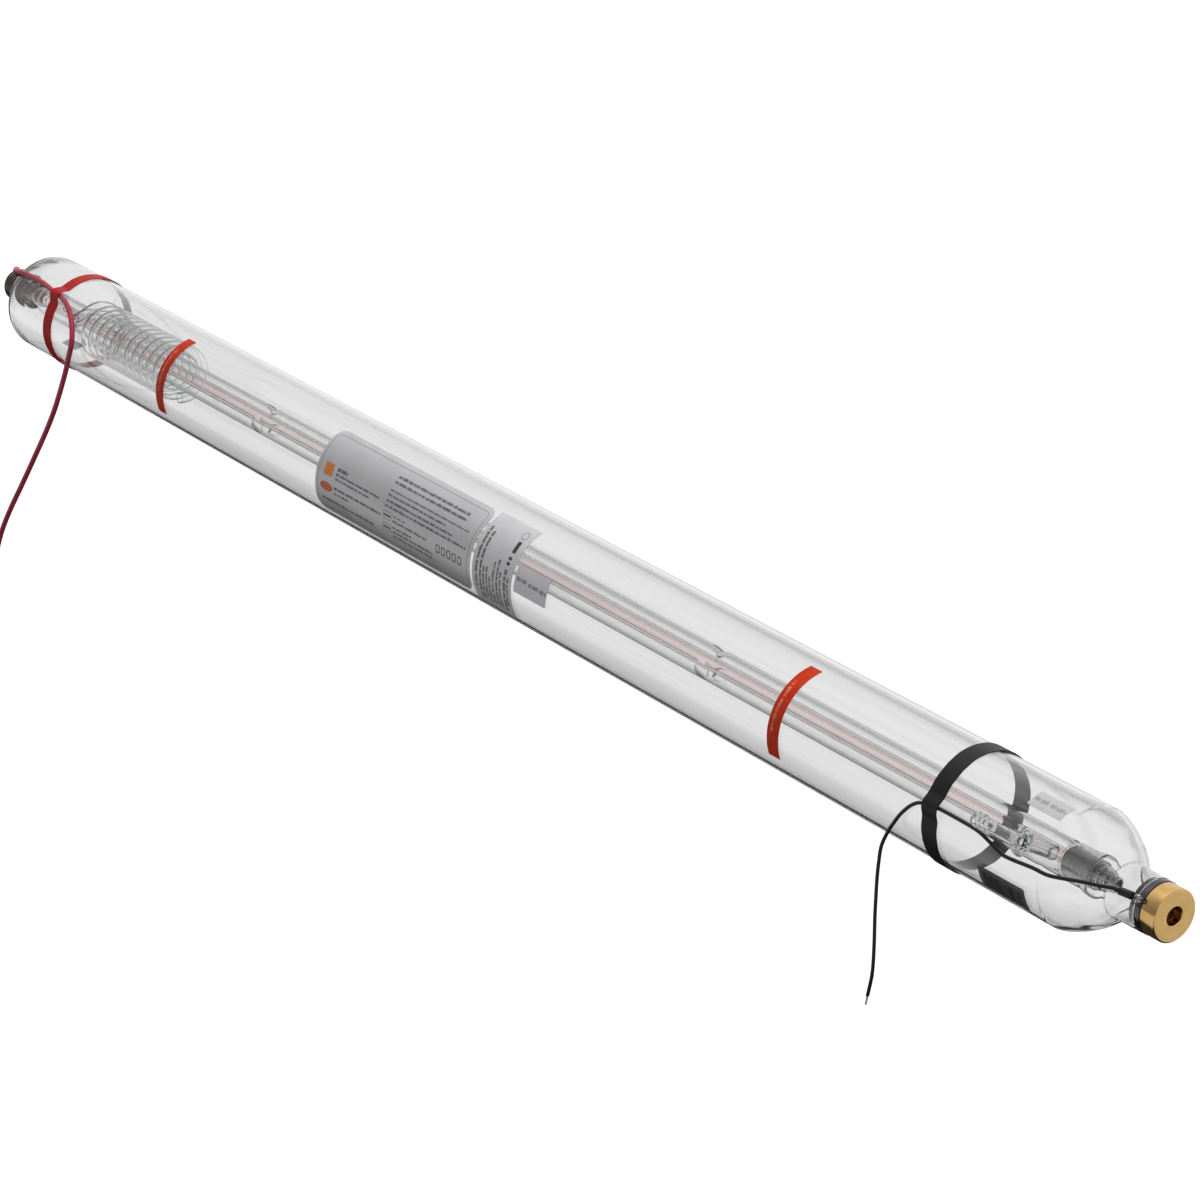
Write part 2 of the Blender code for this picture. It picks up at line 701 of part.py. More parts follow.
def make_output_head():
    """The brass head with its beam hole, the mirror behind it and the steel
    ring that seals them to the front neck."""
    face, back = FRONT_FACE, HEAD_BACK
    seat = FRONT_FACE - APERTURE_DEPTH
    recess = COUPLER_RADIUS + GAP
    outline = [
        (face, HEAD_RADIUS - HEAD_CHAMFER),
        (face - HEAD_CHAMFER, HEAD_RADIUS),
        (back, HEAD_RADIUS),
        (back, recess),
        (seat, recess),
        (seat, APERTURE_RADIUS),
        (face, APERTURE_RADIUS),
    ]
    turned("output_head", outline, BRASS, HEAD_SIDES)

    disc = [
        (seat - GAP, 0.0),
        (seat - GAP, COUPLER_RADIUS),
        (seat - GAP - COUPLER_THICKNESS, COUPLER_RADIUS),
        (seat - GAP - COUPLER_THICKNESS, 0.0),
    ]
    turned("output_mirror", disc, ZINC_SELENIDE, SMALL_SIDES, closed=False)

    spigot = FRONT_NECK_RADIUS - ENVELOPE_WALL - GAP
    tip = RING_BACK - SEAL_SPIGOT_LENGTH
    outline = [
        (RING_FRONT, SEAL_RING_RADIUS),
        (RING_BACK, SEAL_RING_RADIUS),
        (RING_BACK, spigot),
        (tip, spigot),
        (tip, BEAM_BORE_RADIUS),
        (RING_FRONT, BEAM_BORE_RADIUS),
    ]
    ring = turned("seal_ring", outline, STEEL, HEAD_SIDES)
    hole = cylinder_guide(
        "pin_hole",
        PIN_RADIUS + GAP,
        on_tube(CATHODE_TERMINAL_X, BEAM_BORE_RADIUS - 0.002, CATHODE_TERMINAL_ANGLE),
        on_tube(CATHODE_TERMINAL_X, SEAL_RING_RADIUS + 0.002, CATHODE_TERMINAL_ANGLE),
        12,
    )
    boolean(ring, hole, "DIFFERENCE")


def make_rear_end():
    """The rear cap with its mirror, and the collar round the neck."""
    depth = REAR_MIRROR_THICKNESS + GAP
    recess = REAR_MIRROR_RADIUS + GAP
    outline = [
        (CAP_FRONT - depth, 0.0),
        (CAP_FRONT - depth, recess),
        (CAP_FRONT, recess),
        (CAP_FRONT, REAR_CAP_RADIUS),
        (REAR_FACE + REAR_CAP_CHAMFER, REAR_CAP_RADIUS),
        (REAR_FACE, REAR_CAP_RADIUS - REAR_CAP_CHAMFER),
        (REAR_FACE, 0.0),
    ]
    turned("rear_cap", outline, BRONZE, 36, closed=False)

    disc = [
        (CAP_FRONT, 0.0),
        (CAP_FRONT, REAR_MIRROR_RADIUS),
        (CAP_FRONT - REAR_MIRROR_THICKNESS, REAR_MIRROR_RADIUS),
        (CAP_FRONT - REAR_MIRROR_THICKNESS, 0.0),
    ]
    turned("rear_mirror", disc, SILICON, SMALL_SIDES, closed=False)

    front = COLLAR_BACK + REAR_COLLAR_LENGTH
    edge = 0.0006
    outline = [
        (front, REAR_COLLAR_RADIUS - edge),
        (front - edge, REAR_COLLAR_RADIUS),
        (COLLAR_BACK, REAR_COLLAR_RADIUS),
        (COLLAR_BACK, REAR_NECK_RADIUS + GAP),
        (front, REAR_NECK_RADIUS + GAP),
    ]
    turned("rear_collar", outline, BRONZE, HEAD_SIDES)


def make_terminal(name, x, foot, angle, finish):
    """A terminal bead that stands on the tube, with a blind hole from below."""
    bore = PIN_RADIUS + GAP
    deep = foot + 0.45 * TERMINAL_HEIGHT
    ball = foot + TERMINAL_HEIGHT - TERMINAL_RADIUS
    outline = [(foot + TERMINAL_HEIGHT, 0.0)]
    for k in range(1, 5):
        turn = k / 4 * math.pi / 2
        outline.append((ball + TERMINAL_RADIUS * math.cos(turn), TERMINAL_RADIUS * math.sin(turn)))
    outline += [(foot, 0.8 * TERMINAL_RADIUS), (foot, bore), (deep, bore), (deep, 0.0)]
    bead = place(profile_object(name, outline, False), finish)
    bead.location = (x, 0.0, 0.0)
    bead.rotation_euler = radial_turn(angle)
    screw(bead, 12)
    return bead


def make_terminals():
    """The cathode's bead, pin and inner wire, and the anode's bead."""
    x, angle = CATHODE_TERMINAL_X, CATHODE_TERMINAL_ANGLE
    foot = SEAL_RING_RADIUS + GAP
    make_terminal("cathode_terminal", x, foot, angle, GLASS)
    inside = BEAM_BORE_RADIUS - 0.0006
    pin = [
        on_tube(x, inside + GAP + 2 * PIN_WIRE_RADIUS, angle),
        on_tube(x, foot + 0.4 * TERMINAL_HEIGHT, angle),
    ]
    place(wire_curve("cathode_pin", pin, PIN_RADIUS), NICKEL)
    rim = CATHODE_RADIUS + GAP + PIN_WIRE_RADIUS
    wire = [
        on_tube(x, inside, angle),
        on_tube(x - 0.010, inside, angle),
        on_tube(RING_BACK - SEAL_SPIGOT_LENGTH - 0.004, inside + 0.001, angle),
        on_tube(CATHODE_FRONT + 0.010, rim + 0.001, angle),
        on_tube(CATHODE_FRONT + 0.002, rim, angle),
        on_tube(CATHODE_FRONT - 0.004, rim, angle),
    ]
    place(wire_curve("cathode_wire", wire, PIN_WIRE_RADIUS, 1), NICKEL)
    foot = REAR_COLLAR_RADIUS + GAP
    make_terminal("anode_terminal", ANODE_TERMINAL_X, foot, ANODE_TERMINAL_ANGLE, BRONZE)


def make_fitting(name, x, angle, towards):
    """A water fitting: a glass arm from the jacket, through the envelope, with
    a flare where it is sealed, an elbow and a barbed nipple along the tube."""
    foot = JACKET_RADIUS - JACKET_WALL - GAP
    path = [(0.0, 0.0, foot)]
    for k in range(7):
        turn = k / 6 * math.pi / 2
        across = FITTING_BEND * (1 - math.cos(turn))
        up = FITTING_STANDOFF - FITTING_BEND * (1 - math.sin(turn))
        path.append((towards * across, 0.0, up))
    straight = FITTING_BEND + 0.004
    path.append((towards * straight, 0.0, FITTING_STANDOFF))
    arm = mesh_from_curve(wire_curve(name + "_arm", path, FITTING_RADIUS, 3), name)
    place(arm, GLASS)
    arm.location = (x, 0.0, 0.0)
    arm.rotation_euler = radial_turn(angle)

    begin = FITTING_BEND + 0.001
    root = FITTING_RADIUS - 0.0002
    outline = [(begin, 0.0), (begin, root)]
    ridge = FITTING_REACH - BARB_COUNT * BARB_LENGTH
    for k in range(BARB_COUNT):
        at = ridge + k * BARB_LENGTH
        outline += [(at, root), (at + 0.0006, BARB_RADIUS)]
    outline += [(FITTING_REACH, root - 0.0008), (FITTING_REACH, 0.0)]
    outline.reverse()
    centre = Vector((x, 0.0, 0.0)) + on_tube(0.0, FITTING_STANDOFF, angle)
    nipple = turned_guide(name + "_nipple", outline, 16, centre, (0.0, math.pi / 2, 0.0))
    if towards < 0:
        nipple.rotation_euler = (0.0, -math.pi / 2, 0.0)
    boolean(arm, nipple, "UNION")

    low = ENVELOPE_RADIUS - 0.003
    top = ENVELOPE_RADIUS + FLARE_HEIGHT
    outline = [(top, 0.0), (top, FITTING_RADIUS + 0.0002)]
    outline += [(ENVELOPE_RADIUS + 0.0012, FLARE_RADIUS - 0.0016), (ENVELOPE_RADIUS, FLARE_RADIUS)]
    outline += [(low, FLARE_RADIUS + 0.0002), (low, 0.0)]
    flare = turned_guide(name + "_flare", outline, SMALL_SIDES, (x, 0.0, 0.0), radial_turn(angle))
    under = cylinder_guide(
        name + "_under",
        ENVELOPE_RADIUS + GAP,
        (x - 0.03, 0.0, 0.0),
        (x + 0.03, 0.0, 0.0),
        60,
    )
    boolean(flare, under, "DIFFERENCE")
    boolean(arm, flare, "UNION")

    bore_path = [Vector(p) for p in path]
    bore_path[0].z -= 0.002
    bore_path[-1].x = towards * (FITTING_REACH + 0.002)
    bore = mesh_from_curve(wire_curve(name + "_bore_curve", bore_path, FITTING_BORE, 2), name + "_bore")
    as_guide(bore)
    bore.location = (x, 0.0, 0.0)
    bore.rotation_euler = radial_turn(angle)
    boolean(arm, bore, "DIFFERENCE")
    return arm


def make_tape(name, x, width, slant, lead_angle, lead_radius, finish):
    """A slightly slanted ring of tape round the envelope, folded over the lead."""
    rise = 2 * lead_radius + 2 * GAP
    half = TAPE_FOLD_WIDTH / ENVELOPE_RADIUS
    angles = []
    for k in range(-6, 7):
        angles.append(lead_angle + half * k / 6)
    plain = 28
    rest = 2 * math.pi - 2 * half
    for k in range(1, plain):
        angles.append(lead_angle + half + rest * k / plain)
    shape = bmesh.new()
    rows = []
    for side in (-0.5, 0.5):
        row = []
        for angle in angles:
            off = (angle - lead_angle + math.pi) % (2 * math.pi) - math.pi
            fold = math.cos(math.pi / 2 * off / half) ** 2 if abs(off) < half else 0.0
            radius = ENVELOPE_RADIUS + GAP + rise * fold
            along = x + side * width + slant * math.cos(off)
            row.append(shape.verts.new(on_tube(along, radius, angle)))
        rows.append(row)
    for k in range(len(angles)):
        after = (k + 1) % len(angles)
        shape.faces.new((rows[0][k], rows[0][after], rows[1][after], rows[1][k]))
    mesh = bpy.data.meshes.new(name)
    shape.to_mesh(mesh)
    shape.free()
    tape = place(bpy.data.objects.new(name, mesh), finish)
    thick = tape.modifiers.new("thickness", "SOLIDIFY")
    thick.thickness = TAPE_THICKNESS
    thick.offset = 1.0
    return tape


def make_patch(name, x_range, angle_range, finish, corner=0.0):
    """A thin label bent to the envelope, with rounded corners if asked."""
    x0, x1 = x_range
    a0, a1 = (math.radians(a) for a in angle_range)
    radius = ENVELOPE_RADIUS + GAP
    half = (a1 - a0) / 2 * radius
    steps = math.ceil(abs(a1 - a0) / math.radians(9))
    stations = [half * (2 * k / steps - 1) for k in range(steps + 1)]
    if corner:
        for k in range(4):
            at = half - corner + corner * math.sin(k / 4 * math.pi / 2)
            stations += [at, -at]
    shape = bmesh.new()
    pairs = []
    for at in sorted(set(stations)):
        inset = 0.0
        beyond = abs(at) - (half - corner)
        if corner and beyond > 0:
            inset = corner - math.sqrt(max(corner**2 - beyond**2, 0.0))
        angle = (a0 + a1) / 2 + at / radius
        pairs.append(
            (
                shape.verts.new(on_tube(x0 + inset, radius, angle)),
                shape.verts.new(on_tube(x1 - inset, radius, angle)),
            )
        )
    for (a, b), (c, d) in zip(pairs, pairs[1:]):
        shape.faces.new((a, c, d, b))
    mesh = bpy.data.meshes.new(name)
    shape.to_mesh(mesh)
    shape.free()
    patch = place(bpy.data.objects.new(name, mesh), finish)
    thick = patch.modifiers.new("thickness", "SOLIDIFY")
    thick.thickness = SKIN
    thick.offset = 1.0
    return patch


def make_skins():
    """Tapes, support strips and labels."""
    black = (BLACK_TAPE_X, BLACK_TAPE_WIDTH, BLACK_TAPE_SLANT, BLACK_TAPE_ANGLE)
    red = (RED_TAPE_X, RED_TAPE_WIDTH, RED_TAPE_SLANT, RED_TAPE_ANGLE)
    make_tape("black_tape", *black, BLACK_LEAD_RADIUS, BLACK_FILM)
    make_tape("red_tape", *red, RED_LEAD_RADIUS, RED_FILM)
    half = STRIP_WIDTH / 2
    for name, x, spread in (
        ("front_support_strip", FRONT_STRIP_X, FRONT_STRIP_ANGLES),
        ("rear_support_strip", REAR_STRIP_X, REAR_STRIP_ANGLES),
    ):
        make_patch(name, (x - half, x + half), spread, RED_VINYL)
    outlet = [FRONT_FACE - setback for setback in OUTLET_LABEL_SETBACK]
    inlet = [REAR_FACE + setback for setback in INLET_LABEL_SETBACK]
    stock = [FRONT_FACE - setback for setback in STOCK_LABEL_SETBACK]
    make_patch("main_label", MAIN_LABEL_X, MAIN_LABEL_ANGLES, SILVER_PAPER, MAIN_LABEL_CORNER)
    make_patch("certificate_label", CERTIFICATE_LABEL_X, CERTIFICATE_LABEL_ANGLES, SILVER_PAPER)
    make_patch("side_up_label", SIDE_LABEL_X, SIDE_LABEL_ANGLES, SILVER_PAPER)
    make_patch("outlet_label", outlet, OUTLET_LABEL_ANGLES, WHITE_PAPER)
    make_patch("inlet_label", inlet, INLET_LABEL_ANGLES, WHITE_PAPER)
    make_patch("stock_label", stock, STOCK_LABEL_ANGLES, DARK_PAPER, STOCK_LABEL_CORNER)


def make_leads():
    """The two leads, their heat-shrink sleeves and tinned tips."""
    black = (BLACK_LEAD_RADIUS, BLACK_SLEEVE_RADIUS, 0.0085, BLACK_PLASTIC)
    red = (RED_LEAD_RADIUS, RED_SLEEVE_RADIUS, 0.0125, RED_RUBBER)
    for name, on_glass, free, (radius, shrink_radius, spacing, finish) in (
        ("black_lead", BLACK_LEAD_ON_TUBE, BLACK_LEAD_FREE, black),
        ("red_lead", RED_LEAD_ON_TUBE, RED_LEAD_FREE, red),
    ):
        face, inwards = (FRONT_FACE, -1) if name == "black_lead" else (REAR_FACE, 1)
        route = [on_tube(face + inwards * x, r, math.radians(a)) for x, r, a in on_glass]
        route += [Vector((face + inwards * x, y, z)) for x, y, z in free]
        if name == "black_lead":
            inner = on_tube(CATHODE_TERMINAL_X - TERMINAL_RADIUS, 0.0208, CATHODE_TERMINAL_ANGLE)
        else:
            height = REAR_COLLAR_RADIUS + TERMINAL_HEIGHT + 0.0017
            inner = on_tube(ANODE_TERMINAL_X + 0.0012, height, ANODE_TERMINAL_ANGLE)
        out = (route[0] - inner).normalized()
        straight = [route[0] + out * LEAD_STRAIGHT, *route[1:]]
        points = [route[0], *smooth_route(straight, spacing)]
        place(wire_curve(name, points, radius), finish)
        begin = inner + out * GAP * 2
        end = route[0] - out * GAP
        place(wire_curve(name + "_shrink_sleeve", [begin, end], shrink_radius, 3), finish)
        away = (points[-1] - points[-2]).normalized()
        tip = [points[-1] + away * GAP, points[-1] + away * (GAP + LEAD_TIP_LENGTH)]
        place(wire_curve(name + "_tip", tip, radius * 0.55), COPPER)


make_envelope()
make_jacket()
make_discharge_tube()
make_coil()
make_electrodes()
make_output_head()
make_rear_end()
make_terminals()
make_fitting("water_outlet", OUTLET_X, OUTLET_ANGLE, -1)
make_fitting("water_inlet", INLET_X, INLET_ANGLE, 1)
make_skins()
make_leads()
for part in PARTS.objects:
    if part.type == "MESH" and part.data.polygons:
        smooth(part.data)
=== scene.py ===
# %% [markdown]
# # A glass laser tube
#
# The real object is a sealed gas laser: a long glass envelope, and inside it a
# water jacket, a capillary that carries the discharge, and a spiral of glass
# that returns the gas. Metal heads with mirrors close both ends. This script
# dresses the imported solids: each solid keeps its place, and a finer surface
# with a real finish stands for it.
#
# The frame comes first.

# %% Load the frame
import math

import bpy
import numpy as np
from mathutils import Matrix, Vector


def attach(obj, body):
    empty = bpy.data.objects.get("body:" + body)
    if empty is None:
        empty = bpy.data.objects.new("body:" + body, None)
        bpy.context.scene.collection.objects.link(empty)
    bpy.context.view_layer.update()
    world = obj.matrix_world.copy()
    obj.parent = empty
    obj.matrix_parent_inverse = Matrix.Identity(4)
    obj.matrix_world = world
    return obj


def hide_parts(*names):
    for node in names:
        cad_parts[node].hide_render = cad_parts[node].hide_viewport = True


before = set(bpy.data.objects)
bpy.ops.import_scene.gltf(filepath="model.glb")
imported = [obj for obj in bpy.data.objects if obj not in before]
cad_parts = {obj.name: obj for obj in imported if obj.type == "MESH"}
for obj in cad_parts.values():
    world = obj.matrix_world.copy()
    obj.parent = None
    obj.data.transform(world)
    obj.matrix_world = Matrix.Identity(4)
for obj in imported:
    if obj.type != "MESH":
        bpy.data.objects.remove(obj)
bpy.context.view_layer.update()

scene = bpy.context.scene
print("nodes in the frame:", len(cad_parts))

# %% [markdown]
# ## Camera
#
# The photograph is taken from above the output end, with a long lens, so the
# two ends differ little in size. The tube's axis is X and the camera stands at
# +X, -Y, +Z. Its frame is built from two angles: how far it looks down, and how
# far its view is turned from the tube's side. Three unit vectors then make the
# rotation: right, up and back.

# %% Camera
LENS_MM, SENSOR_MM = 114.89, 36.0
CAMERA_PLACE = (2.14672, -1.40473, 1.01714)
LOOK_DOWN, TURN = math.radians(22.570), math.radians(54.897)


def camera_rotation(down, turn):
    """Columns of the matrix: right = (cos turn, sin turn, 0), back = the
    opposite of the line of sight, and up = back x right."""
    right = Vector((math.cos(turn), math.sin(turn), 0.0))
    level = math.cos(down)
    back = Vector((math.sin(turn) * level, -math.cos(turn) * level, math.sin(down)))
    up = back.cross(right)
    return Matrix((right, up, back)).transposed()


view = bpy.data.cameras.new("photo_view")
view.lens, view.sensor_width, view.sensor_fit = LENS_MM, SENSOR_MM, "AUTO"
view.clip_start, view.clip_end = 0.05, 100.0
camera = bpy.data.objects.new("photo_view", view)
camera.matrix_world = Matrix.Translation(CAMERA_PLACE) @ camera_rotation(LOOK_DOWN, TURN).to_4x4()
scene.collection.objects.link(camera)
scene.camera = camera
print("camera at", CAMERA_PLACE, "with a lens of", LENS_MM, "mm")

# %% [markdown]
# ## Ways to make surfaces
#
# Almost every piece here is one of three shapes: an outline turned about the
# optical axis, a circle carried along a path, or a thin skin on the envelope.
# Each is a function of two parameters on a grid, worked out as whole numpy
# arrays. One function puts such a grid into a mesh.

# %% Grid to mesh
def circle(sides):
    """Angles all the way round, in even steps."""
    return np.linspace(0, 2 * math.pi, sides, endpoint=False)


def piece_from_grid(name, points, closed=(False, True), caps=False):
    """A mesh from an array of points with shape (rows, columns, 3). A closed
    direction joins its last line to its first. Caps close the first and last
    row with one fan each, about the mean of the row."""
    rows, columns = points.shape[:2]
    ids = np.arange(rows * columns).reshape(rows, columns)
    if closed[0]:
        ids = np.vstack([ids, ids[:1]])
    if closed[1]:
        ids = np.hstack([ids, ids[:, :1]])
    quads = np.stack([ids[:-1, :-1], ids[:-1, 1:], ids[1:, 1:], ids[1:, :-1]], -1).reshape(-1, 4)
    corners = points.reshape(-1, 3)
    fans = np.empty((0, 3), int)
    if caps:
        middle = np.stack([points[0].mean(0), points[-1].mean(0)])
        first, last = len(corners), len(corners) + 1
        corners = np.vstack([corners, middle])
        a, b = ids[0], ids[-1]
        fans = np.vstack(
            [
                np.stack([a[1:], a[:-1], np.full(len(a) - 1, first)], -1),
                np.stack([b[:-1], b[1:], np.full(len(b) - 1, last)], -1),
            ]
        )
    # Outward faces enclose a positive volume; otherwise all are turned over.
    fan_of = np.concatenate([quads[:, [0, 1, 2]], quads[:, [0, 2, 3]], fans])
    a, b, c = (corners[fan_of[:, k]] for k in range(3))
    if np.einsum("ij,ij->i", a, np.cross(b, c)).sum() < 0:
        quads, fans = quads[:, ::-1], fans[:, ::-1]
    mesh = bpy.data.meshes.new(name)
    mesh.vertices.add(len(corners))
    mesh.vertices.foreach_set("co", corners.astype(np.float32).ravel())
    loops = np.concatenate([quads.ravel(), fans.ravel()])
    mesh.loops.add(len(loops))
    mesh.loops.foreach_set("vertex_index", loops.astype(np.int32))
    sizes = np.concatenate([np.full(len(quads), 4), np.full(len(fans), 3)])
    mesh.polygons.add(len(sizes))
    mesh.polygons.foreach_set("loop_start", (np.cumsum(sizes) - sizes).astype(np.int32))
    mesh.update(calc_edges=True)
    mesh.shade_smooth()
    piece = bpy.data.objects.new(name, mesh)
    scene.collection.objects.link(piece)
    return piece


def stand_for(piece, *nodes, slot=None, sharp=35):
    """Ride on the one body, take the place of the named solids, and keep the
    corners that are sharper than the given angle crisp."""
    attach(piece, "root")
    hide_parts(*nodes)
    piece.data.set_sharp_from_angle(angle=math.radians(sharp))
    return piece


# %% [markdown]
# ### Turned pieces
#
# On a lathe, or in a glass lathe's flame, a piece is an outline turned about
# one axis. The outline here is a closed loop of (x, radius) points, and its
# corners can be rounded first: each corner is replaced by a short arc, because
# no real edge is perfectly sharp and a rounded one catches the light.

# %% Turned pieces
def rounded(outline, reach, steps=3):
    """Replace each corner P of a closed outline by the curve
    (1-t)^2 A + 2t(1-t) P + t^2 B, where A and B lie on its two sides, at most
    reach away and never past 45% of the side."""
    p = np.asarray(outline, float)
    before, after = np.roll(p, 1, 0) - p, np.roll(p, -1, 0) - p
    lb, la = np.linalg.norm(before, axis=1), np.linalg.norm(after, axis=1)
    cut = np.minimum(reach, 0.45 * np.minimum(lb, la))[:, None]
    a, b = p + before / lb[:, None] * cut, p + after / la[:, None] * cut
    t = np.linspace(0, 1, steps + 1)[None, :, None]
    curve = (1 - t) ** 2 * a[:, None] + 2 * t * (1 - t) * p[:, None] + t**2 * b[:, None]
    return curve.reshape(-1, 2)


def turned(name, outline, sides=96):
    """x = x(s), y = r(s) cos a, z = r(s) sin a, for a closed outline s -> (x, r)
    and the angle a all the way round."""
    x, r = np.asarray(outline, float).T[..., None]
    angle = circle(sides)
    grid = np.stack(np.broadcast_arrays(x, r * np.cos(angle), r * np.sin(angle)), -1)
    return piece_from_grid(name, grid, closed=(True, True))


# %% [markdown]
# ### Pieces along a path
#
# Wires, glass coils and nipples are circles carried along a path. The circle
# must not twist, so its frame is carried from point to point by the smallest
# turn. A path is first smoothed: a Catmull-Rom curve passes through the given
# points, and is then read off at even steps.

# %% Pieces along a path
def smooth_path(points, spacing, fine=20):
    """Catmull-Rom: between P1 and P2 the curve is half of
    2 P1 + (P2-P0) t + (2P0-5P1+4P2-P3) t^2 + (3P1-P0-3P2+P3) t^3.
    Then points at even arc length, about spacing apart."""
    p = np.asarray(points, float)
    p = np.vstack([2 * p[0] - p[1], p, 2 * p[-1] - p[-2]])
    t = (np.arange(fine) / fine)[None, :, None]
    p0, p1, p2, p3 = (p[k : len(p) - 3 + k][:, None] for k in range(4))
    square, cube = 2 * p0 - 5 * p1 + 4 * p2 - p3, 3 * p1 - p0 - 3 * p2 + p3
    curve = 0.5 * (2 * p1 + (p2 - p0) * t + square * t**2 + cube * t**3)
    curve = np.vstack([curve.reshape(-1, 3), p[-2]])
    walked = np.concatenate([[0], np.cumsum(np.linalg.norm(np.diff(curve, axis=0), axis=1))])
    even = np.linspace(0, walked[-1], max(3, round(walked[-1] / spacing) + 1))
    return np.stack([np.interp(even, walked, curve[:, k]) for k in range(3)], -1)


def frames_along(path):
    """Two directions across the path at each point, carried forward without
    twist: each pair is the last one with its part along the path taken off."""
    along = np.gradient(path, axis=0)
    along /= np.linalg.norm(along, axis=1)[:, None]
    across = np.cross(along[0], (0.0, 0.0, 1.0) if abs(along[0, 2]) < 0.9 else (1.0, 0.0, 0.0))
    first = []
    for direction in along:
        across = across - direction * (across @ direction)
        across = across / np.linalg.norm(across)
        first.append(across)
    first = np.array(first)
    return first, np.cross(along, first)


def ring_grid(path, radius, sides):
    """P(s) + r (U cos a + V sin a), with U and V across the path. The radius is
    one number, one for each point, or one for each point and angle."""
    u, v = frames_along(path)
    angle = circle(sides)[None, :, None]
    r = np.asarray(radius, float)
    r = np.broadcast_to(r if r.ndim == 2 else r.reshape(-1, 1), (len(path), sides))[..., None]
    return path[:, None] + r * (u[:, None] * np.cos(angle) + v[:, None] * np.sin(angle))


def rod(name, path, radius, sides=24):
    """A solid round bar along a path, closed by a cap at each end. One more
    ring close to each end keeps the full radius, and the last one is smaller by
    a quarter, so the edge is soft."""
    soft = 0.25
    path = np.asarray(path, float)
    r = np.broadcast_to(np.asarray(radius, float), (len(path),))
    first, last = (end / np.linalg.norm(end) for end in (path[0] - path[1], path[-1] - path[-2]))
    path = np.vstack(
        [path[0], path[0] - first * soft * r[0], path[1:-1], path[-1] - last * soft * r[-1], path[-1]]
    )
    r = np.concatenate([[r[0] * (1 - soft)], [r[0]], r[1:-1], [r[-1]], [r[-1] * (1 - soft)]])
    return piece_from_grid(name, ring_grid(path, r, sides), caps=True)


def pipe(name, path, radius, bore, sides=32):
    """A hollow tube along a path: the outer rings in order, then the bore's
    rings in the opposite order, and the last joined to the first."""
    path = np.asarray(path, float)
    outer, inner = ring_grid(path, radius, sides), ring_grid(path, bore, sides)
    return piece_from_grid(name, np.concatenate([outer, inner[::-1]]), closed=(True, True))


def on_tube(x, radius, degrees):
    """(x, r cos a, r sin a): a point at a distance from the optical axis."""
    a = np.radians(degrees)
    return np.stack(np.broadcast_arrays(x, radius * np.cos(a), radius * np.sin(a)), -1).astype(float)


# %% [markdown]
# ## The two leads
#
# A thin black wire feeds the cathode at the output end and a thick red silicone
# wire feeds the anode at the rear. Each leaves its terminal through a short
# heat-shrink sleeve, runs along the glass, is held by a turn of tape, and then
# hangs free. The photograph shows the black one almost to its end. The red one
# leaves the picture at the left, so it ends a little further down. Both are cut
# and tinned as such wires are supplied.
#
# The points repeat the solids' own routes. A wire is a rod along them.

# %% Leads
BLACK_RADIUS, RED_RADIUS = 0.0012, 0.0022
FRONT_FACE, REAR_FACE = 0.725, -0.725
BLACK_ON_TUBE = [
    (0.0275, 0.0222, 149.6), (0.0390, 0.0262, 155.5), (0.0500, 0.0313, 160.0), (0.0660, 0.0393, 165.0),
    (0.0790, 0.0417, 165.0), (0.0986, 0.0417, 167.6), (0.1077, 0.0417, 167.0), (0.1278, 0.0417, 160.3),
    (0.1465, 0.0417, 159.3), (0.1670, 0.0417, 159.6), (0.1815, 0.0417, 162.4), (0.1895, 0.0418, 168.8),
    (0.1972, 0.0424, 180.2),
]
BLACK_FREE = [
    (0.2040, -0.0428, -0.0098), (0.2087, -0.0431, -0.0176), (0.2137, -0.0433, -0.0285),
    (0.2156, -0.0434, -0.0400), (0.2168, -0.0434, -0.0522), (0.2173, -0.0434, -0.0648),
    (0.2177, -0.0434, -0.0796), (0.2176, -0.0434, -0.0990), (0.2186, -0.0434, -0.1190),
    (0.2226, -0.0434, -0.1370),
]
RED_ON_TUBE = [
    (0.0265, 0.0264, 121.5), (0.0325, 0.0303, 124.8), (0.0390, 0.0338, 127.6), (0.0460, 0.0372, 129.5),
    (0.0530, 0.0402, 130.6), (0.0600, 0.0421, 130.6), (0.0666, 0.0427, 130.0), (0.0750, 0.0427, 129.3),
    (0.1010, 0.0427, 129.1), (0.1189, 0.0427, 131.4), (0.1306, 0.0427, 132.6), (0.1444, 0.0427, 134.9),
    (0.1550, 0.0427, 139.3), (0.1640, 0.0427, 145.3), (0.1710, 0.0429, 151.6), (0.1763, 0.0432, 158.2),
    (0.1798, 0.0436, 165.5), (0.1814, 0.0442, 172.8),
]
RED_FREE = [
    (0.1810, -0.0452, -0.0005), (0.1785, -0.0462, -0.0085), (0.1762, -0.0471, -0.0165),
    (0.1734, -0.0480, -0.0245), (0.1669, -0.0497, -0.0401), (0.1597, -0.0514, -0.0559),
    (0.1505, -0.0531, -0.0723), (0.1393, -0.0548, -0.0897), (0.1274, -0.0565, -0.1072),
    (0.1151, -0.0581, -0.1250), (0.1026, -0.0598, -0.1429), (0.0895, -0.0615, -0.1613),
    (0.0776, -0.0632, -0.1794), (0.0683, -0.0649, -0.1968), (0.0600, -0.0662, -0.2180),
    (0.0544, -0.0672, -0.2450), (0.0515, -0.0680, -0.2800), (0.0505, -0.0684, -0.3150),
]


def lead_route(on_glass, free, face, inwards):
    """The route's points in the frame: x = face + inwards * d, and on the glass
    (x, r cos a, r sin a)."""
    glass = [on_tube(face + inwards * d, r, a) for d, r, a in on_glass]
    return np.array(glass + [(face + inwards * d, y, z) for d, y, z in free])


